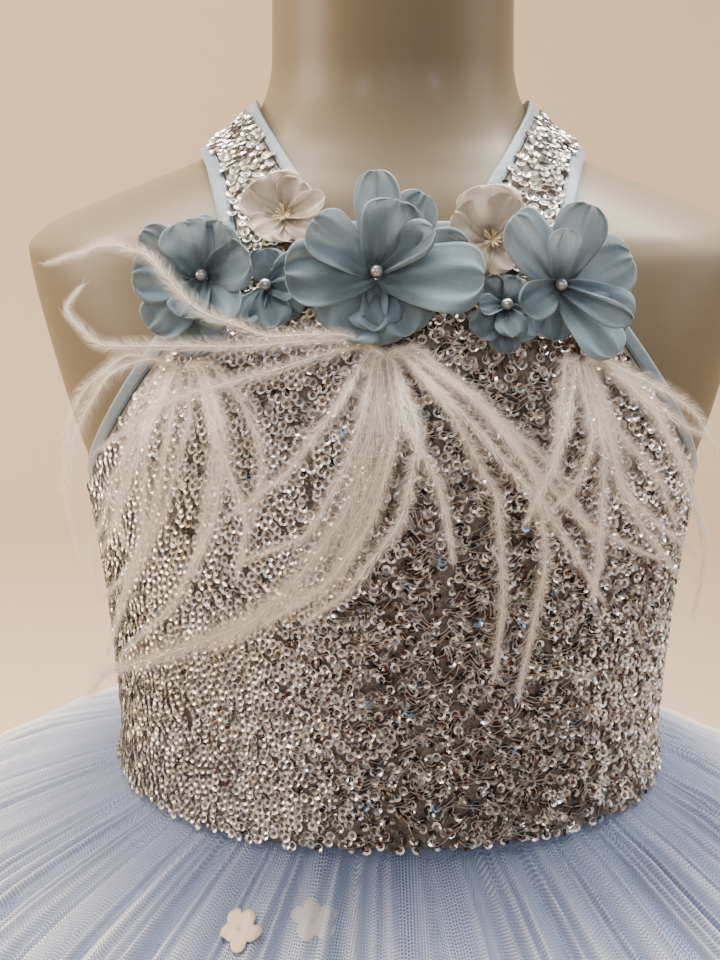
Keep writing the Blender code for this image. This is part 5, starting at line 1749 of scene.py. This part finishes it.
@dataclass
class Feathers:
    """Three bunches of ostrich fronds: a fine shaft along a smooth line each, with soft barbs on both sides.

    A bunch is its CAD node, its root and its fronds' routes: each is the places (across, height in turn) on
    the bodice that a frond passes over, from its root to its tip.
    step is the way between two points of a shaft, blur how many of them its bends are smoothed over, and lift
    how far fronds stand off at the root, off it, for each one's place in the layers, and at the tip.
    """

    body: BodySurface
    guide_ease: float = 32.0
    step: float = 0.5
    blur: int = 12
    lift: tuple = (5.0, 4.0, 1.7, 3.0)
    lift_run: float = 26.0
    layers: int = 5
    high_fronds: tuple = (11, 12)
    high_lift: float = 8.0
    full_fronds: tuple = (0, 10)
    full: float = 2.0
    thinned: int = 4
    barb_pitch: float = 0.22
    barb_length: float = 6.6
    barb_half: tuple = (0.05, 0.038, 0.0)
    shaft: float = 0.34
    down: float = 3.6
    seed: int = 3
    bunches: tuple = (
        ("fronds_right", (-60, 150), (
            (-75, 154, -88, 142, -91, 131, -91, 108, -87, 93),
            (-64, 151, -69, 136, -77, 121, -84, 96, -82, 84),
            (-58, 152, -56, 137, -63, 111, -74, 86, -80, 65),
            (-60, 152, -61, 134, -65, 110, -71, 95, -81, 83),
            (-54, 152, -45, 134, -48, 111, -59, 87, -74, 69),
            (-65, 152, -73, 136, -76, 115, -81, 97),
            (-57, 152, -49, 142, -50, 123, -54, 98),
            (-68, 153, -78, 149, -85, 136, -90, 117),
            (-63, 151, -67, 131, -68, 104, -75, 82),
            (-56, 152, -47, 132, -39, 112, -42, 96),
            (-53, 153, -42, 142, -36, 128, -39, 109),
            (-61, 152, -63, 142, -69, 124, -74, 110, -72, 98),
        )),
        ("fronds_centre", (-3, 154), (
            (-5, 155, -3, 130, -17, 93, -53, 73, -83, 58, -89, 47),
            (-3, 155, 0, 135, -7, 110, -19, 93, -36, 81),
            (-6, 156, -11, 132, -24, 107, -41, 100),
            (-9, 157, -26, 152, -43, 147, -60, 142, -80, 128),
            (-1, 157, 19, 137, 38, 117, 55, 88),
            (4, 157, 22, 142, 43, 125, 57, 99, 54, 88),
            (5, 157, 28, 135, 51, 109, 72, 97),
            (1, 155, 14, 140, 27, 118, 29, 90, 27, 65),
            (2, 156, 22, 142, 37, 123, 40, 101, 36, 77, 33, 58),
            (-2, 155, 6, 135, 1, 112, -13, 93, -25, 84),
            (-5, 155, -6, 137, -14, 112, -30, 90, -49, 72),
            (-10, 158, -40, 155, -79, 155, -90, 164, -85, 171),
            (-13, 159, -34, 157, -52, 163, -66, 177, -77, 179, -96, 175),
            (-7, 157, -15, 142, -28, 126, -45, 112),
            (-1, 155, 2, 137, 11, 123, 15, 101),
        )),
        ("fronds_left", (52, 150), (
            (56, 154, 68, 143, 80, 133, 87, 131),
            (56, 154, 67, 142, 81, 121, 86, 96, 83, 77),
            (53, 153, 56, 137, 60, 119, 82, 97),
            (50, 153, 52, 132, 47, 120, 39, 114),
            (50, 153, 44, 134, 33, 111),
            (53, 153, 58, 134, 65, 111, 79, 90),
            (56, 153, 70, 139, 78, 124, 85, 102),
            (47, 154, 43, 137, 41, 124),
            (52, 153, 55, 129, 54, 105, 52, 88),
            (55, 154, 66, 147, 78, 139, 88, 123),
            (54, 153, 60, 134, 72, 121, 77, 106),
        )),
    )

    def line(self, root: tuple[float, float], route: tuple, layer: int) -> tuple[Array, Array]:
        """Points every half millimetre along one frond, and the guide's normals there."""
        knots = np.array([*root, *route], float).reshape(-1, 2)
        gaps = np.maximum(np.linalg.norm(np.diff(knots, axis=0), axis=1), 0.5)
        at = np.append(0, np.cumsum(gaps))
        fine = np.linspace(0, at[-1], int(at[-1] / self.step))
        spline = [np.interp(fine, at, knots[:, k]) for k in range(2)]
        window = np.hanning(2 * self.blur + 1)
        window /= window.sum()
        padded = [np.pad(values, self.blur, mode="reflect", reflect_type="odd") for values in spline]
        x, height = (np.convolve(values, window, mode="valid") for values in padded)
        share = fine / at[-1]
        root_lift, body_lift, layer_lift, tip_lift = self.lift
        rise = body_lift + layer_lift * (layer % self.layers)
        off = root_lift + rise * smooth_step(fine, 0, self.lift_run)
        off = off + tip_lift * share**2
        high = layer in self.high_fronds and len(knots) > 5
        off = off + (self.high_lift * np.sin(math.pi * share) if high else 0.0)
        return self.body.on_form(x, height, -1, off, self.guide_ease)

    def barbs(self, path: Array, out: Array, rng: np.random.Generator, plume: float) -> Shape:
        """The barbs of one frond: thin blades that leave the shaft forward and sideways and droop.

        A barb's point is the shaft's, plus its length times a mix of sideways and ahead that turns forward
        along it, plus a small random lift.

        Args:
            path: points along the shaft.
            out: the normals there.
            rng: what scatters the barbs.
            plume: how long the barbs are, against the usual.

        Returns:
            The barbs as one open shape.
        """
        count = 2 * int(self.step * (len(path) - 1) / self.barb_pitch)
        at = np.sort(rng.uniform(0.02, 0.995, count))
        side = np.where(rng.random(count) < 0.5, -1.0, 1.0)
        place = at * (len(path) - 1)
        i = np.minimum(place.astype(int), len(path) - 2)
        t = (place - i)[:, None]
        root = path[i] * (1 - t) + path[i + 1] * t
        ahead = unit(path[i + 1] - path[i])
        across = unit(np.cross(ahead, out[i])) * side[:, None]
        lift = out[i] * rng.normal(0.0, 0.35, count)[:, None]
        long = self.barb_length * plume * np.sin(math.pi * (0.12 + 0.8 * at)) ** 0.6
        long = long * rng.uniform(0.4, 1.2, count)
        lean = rng.uniform(0.45, 1.0, count)[:, None]
        share = np.array([0.0, 0.5, 1.0])[:, None, None]
        way = across * (0.62 - 0.3 * share) * lean + ahead * (0.8 + 0.3 * share) + lift * (0.3 + 0.5 * share)
        middle = root + share * long[:, None] * unit(way)
        blade = unit(np.cross(unit(way), out[i])) * np.array(self.barb_half)[:, None, None]
        left, right = middle - blade, middle + blade
        points = np.stack([left[0], right[0], left[1], right[1], middle[2]], axis=1)
        start = np.arange(count)[:, None] * points.shape[1]
        return Shape(points.reshape(-1, 3), [start + np.array([0, 1, 3, 2]), start + np.array([2, 3, 4])])

    def thin(self, path: Array, out: Array) -> tuple[Array, Array, Array]:
        """Fewer of a frond's points and normals, and the ways sideways there."""
        path, out = path[:: self.thinned], out[:: self.thinned]
        return path, out, unit(np.cross(unit(np.gradient(path, axis=0)), out))

    def haze(self, path: Array, out: Array, plume: float) -> Shape:
        """The down beside the shaft: a narrow sheet that bends back at its edges; v is -1 to 1 across it."""
        path, out, side = self.thin(path, out)
        share = np.linspace(0, 1, len(path))
        half = self.down * plume * np.sin(math.pi * (0.1 + 0.85 * share)) ** 0.5
        across = np.array([-1.0, 0.0, 1.0])
        grid = path[:, None] + (half[:, None] * across)[..., None] * side[:, None]
        grid = grid - (0.25 * half[:, None] * np.abs(across))[..., None] * out[:, None]
        faces = grid_faces(len(path), 3)
        u, v = np.meshgrid(self.step * self.thinned * np.arange(len(path)), across, indexing="ij")
        return Shape(grid.reshape(-1, 3), [faces], [np.stack([u, v], axis=-1).reshape(-1, 2)[faces]])

    def spine(self, path: Array, out: Array) -> Shape:
        """The shaft: a four-sided tube that tapers to the tip, closed at both ends."""
        path, out, side = self.thin(path, out)
        half = (self.shaft / 2 * np.linspace(1, 0.3, len(path)))[:, None]
        ring = [path - side * half, path + out * half, path + side * half, path - out * half]
        return tube(np.stack(ring, axis=1))

    def build(self) -> None:
        """Makes each bunch's shafts, which stand for its CAD node, and its barbs."""
        finish = OstrichFeather()
        shaft, barb, down = finish.shaft_material(), finish.barb_material(), finish.down_material()
        rng = np.random.default_rng(self.seed)
        for name, root, routes in self.bunches:
            lines = [self.line(root, route, k) for k, route in enumerate(routes)]
            shafts = [self.spine(path, out) for path, out in lines]
            Shape.joined(shafts).to_object("shafts_" + name, shaft, "fronds", (name,))
            wide = [self.full if name == "fronds_centre" and k in self.full_fronds else 1.0
                    for k in range(len(lines))]
            soft = [self.barbs(path, out, rng, plume) for (path, out), plume in zip(lines, wide)]
            Shape.joined(soft).to_object("barbs_" + name, barb, "fronds")
            hazes = [self.haze(path, out, plume) for (path, out), plume in zip(lines, wide)]
            Shape.joined(hazes).to_object("down_" + name, down, "fronds")


@dataclass
class Studio:
    """A plain pale sweep, soft lights and the camera at the photograph's angle. Places are in metres.

    A lamp is its name, place, target, the length of its square's side, its power in watts and its colour.
    """

    camera_place: tuple = (-0.0104, -0.480, 0.934)
    camera_pitch: float = 16.0
    lens: float = 54.075
    film: float = 36.0
    clip: tuple = (0.01, 50.0)
    wall_colour: str = "#CDBEAA"
    room_radius: float = 3.2
    room_height: float = 2.4
    cove: float = 0.7
    cove_steps: int = 12
    room_steps: int = 96
    surroundings: tuple = ("#C8C4BF", 0.12)
    chest: tuple = (0.0, 0.0, 0.82)

    def lamps(self) -> tuple:
        """Two lamps over the form, one at each side, one in front, two small glints and two on the wall."""
        chest = self.chest
        return (
            ("ceiling_front", (-0.35, 0.1, 2.2), chest, 0.7, 32.0, "#FFF8EE"),
            ("ceiling_back", (0.5, 0.4, 2.2), chest, 1.0, 48.0, "#FFF9F2"),
            ("window_left", (-1.5, -0.2, 1.3), chest, 0.8, 19.0, "#FFEFDC"),
            ("window_right", (1.5, -0.1, 1.3), chest, 0.8, 5.0, "#F6F8FC"),
            ("room_front", (0.1, -1.6, 1.6), chest, 1.0, 6.0, "#F2F5FF"),
            ("glint_left", (-0.6, -1.1, 1.5), chest, 0.08, 2.0, "#FFFFFF"),
            ("glint_right", (0.7, -0.9, 1.35), chest, 0.08, 1.6, "#EAF2FF"),
            ("wall_wash_left", (-1.4, 0.6, 2.4), (-1.6, 3.0, 0.2), 0.8, 76.0, "#FFEBD4"),
            ("wall_wash_right", (1.4, 0.6, 2.4), (1.0, 3.2, 0.4), 0.8, 22.0, "#FFF9F2"),
        )

    def sweep(self) -> None:
        """A floor that bends up into a round wall: a disc, a quarter circle and a rise, turned round Z."""
        arc = np.linspace(0, math.pi / 2, self.cove_steps)
        floor = self.room_radius - self.cove
        radius = np.concatenate([[0.0], floor + self.cove * np.sin(arc), [self.room_radius]])
        height = np.concatenate([[0.0], self.cove - self.cove * np.cos(arc), [self.room_height]])
        turn = np.arange(self.room_steps) * 2 * math.pi / self.room_steps
        x, y = radius[:, None] * np.cos(turn), radius[:, None] * np.sin(turn)
        grid = np.stack([x, y, height[:, None] + 0 * x], axis=-1)
        mesh = bpy.data.meshes.new("studio_sweep")
        mesh.from_pydata(grid.reshape(-1, 3).tolist(), [], grid_faces(*x.shape, wrap=True).tolist())
        mesh.shade_smooth()
        paint = Finish("matt_painted_backdrop", Base_Color=linear(self.wall_colour), Roughness=0.9)
        mesh.materials.append(paint.material)
        scene_object("studio_sweep", mesh)

    def light(self, name: str, place: tuple, target: tuple, size: float, power: float, colour: str) -> None:
        """One square soft light.

        Args:
            name: what it is for.
            place: where it is.
            target: what it points at.
            size: the length of its side.
            power: in watts.
            colour: its colour.
        """
        lamp = bpy.data.lights.new(name, "AREA")
        lamp.size = size
        lamp.energy = power
        lamp.color = linear(colour)[:3]
        holder = scene_object(name, lamp)
        holder.visible_camera = False
        holder.location = place
        holder.rotation_euler = (Vector(target) - Vector(place)).to_track_quat("-Z", "Y").to_euler()

    def build(self) -> None:
        """Makes the sweep, the lights, the dim surroundings and the camera."""
        self.sweep()
        for lamp in self.lamps():
            self.light(*lamp)
        colour, strength = self.surroundings
        world = bpy.data.worlds.new("dim_room")
        world.use_nodes = True
        background = world.node_tree.nodes["Background"].inputs
        background["Color"].default_value = linear(colour)
        background["Strength"].default_value = strength
        bpy.context.scene.world = world
        bpy.context.scene.view_settings.look = "AgX - Medium High Contrast"
        camera = bpy.data.cameras.new("photo_camera")
        camera.sensor_width = self.film
        camera.lens = self.lens
        camera.clip_start, camera.clip_end = self.clip
        holder = scene_object("photo_camera", camera)
        holder.location = self.camera_place
        holder.rotation_euler = (math.radians(90 - self.camera_pitch), 0, 0)
        bpy.context.scene.camera = holder


def main() -> None:
    """Builds the dress, its form and the studio."""
    logging.basicConfig(level=logging.INFO, format="%(name)s: %(message)s")
    body = BodySurface()
    parts = (DisplayForm(body), Bodice(body), Sequins(body), Skirt(), Posy(body), Feathers(body), Studio())
    for part in parts:
        LOG.info("building %s", type(part).__name__)
        part.build()


if __name__ == "__main__":
    main()
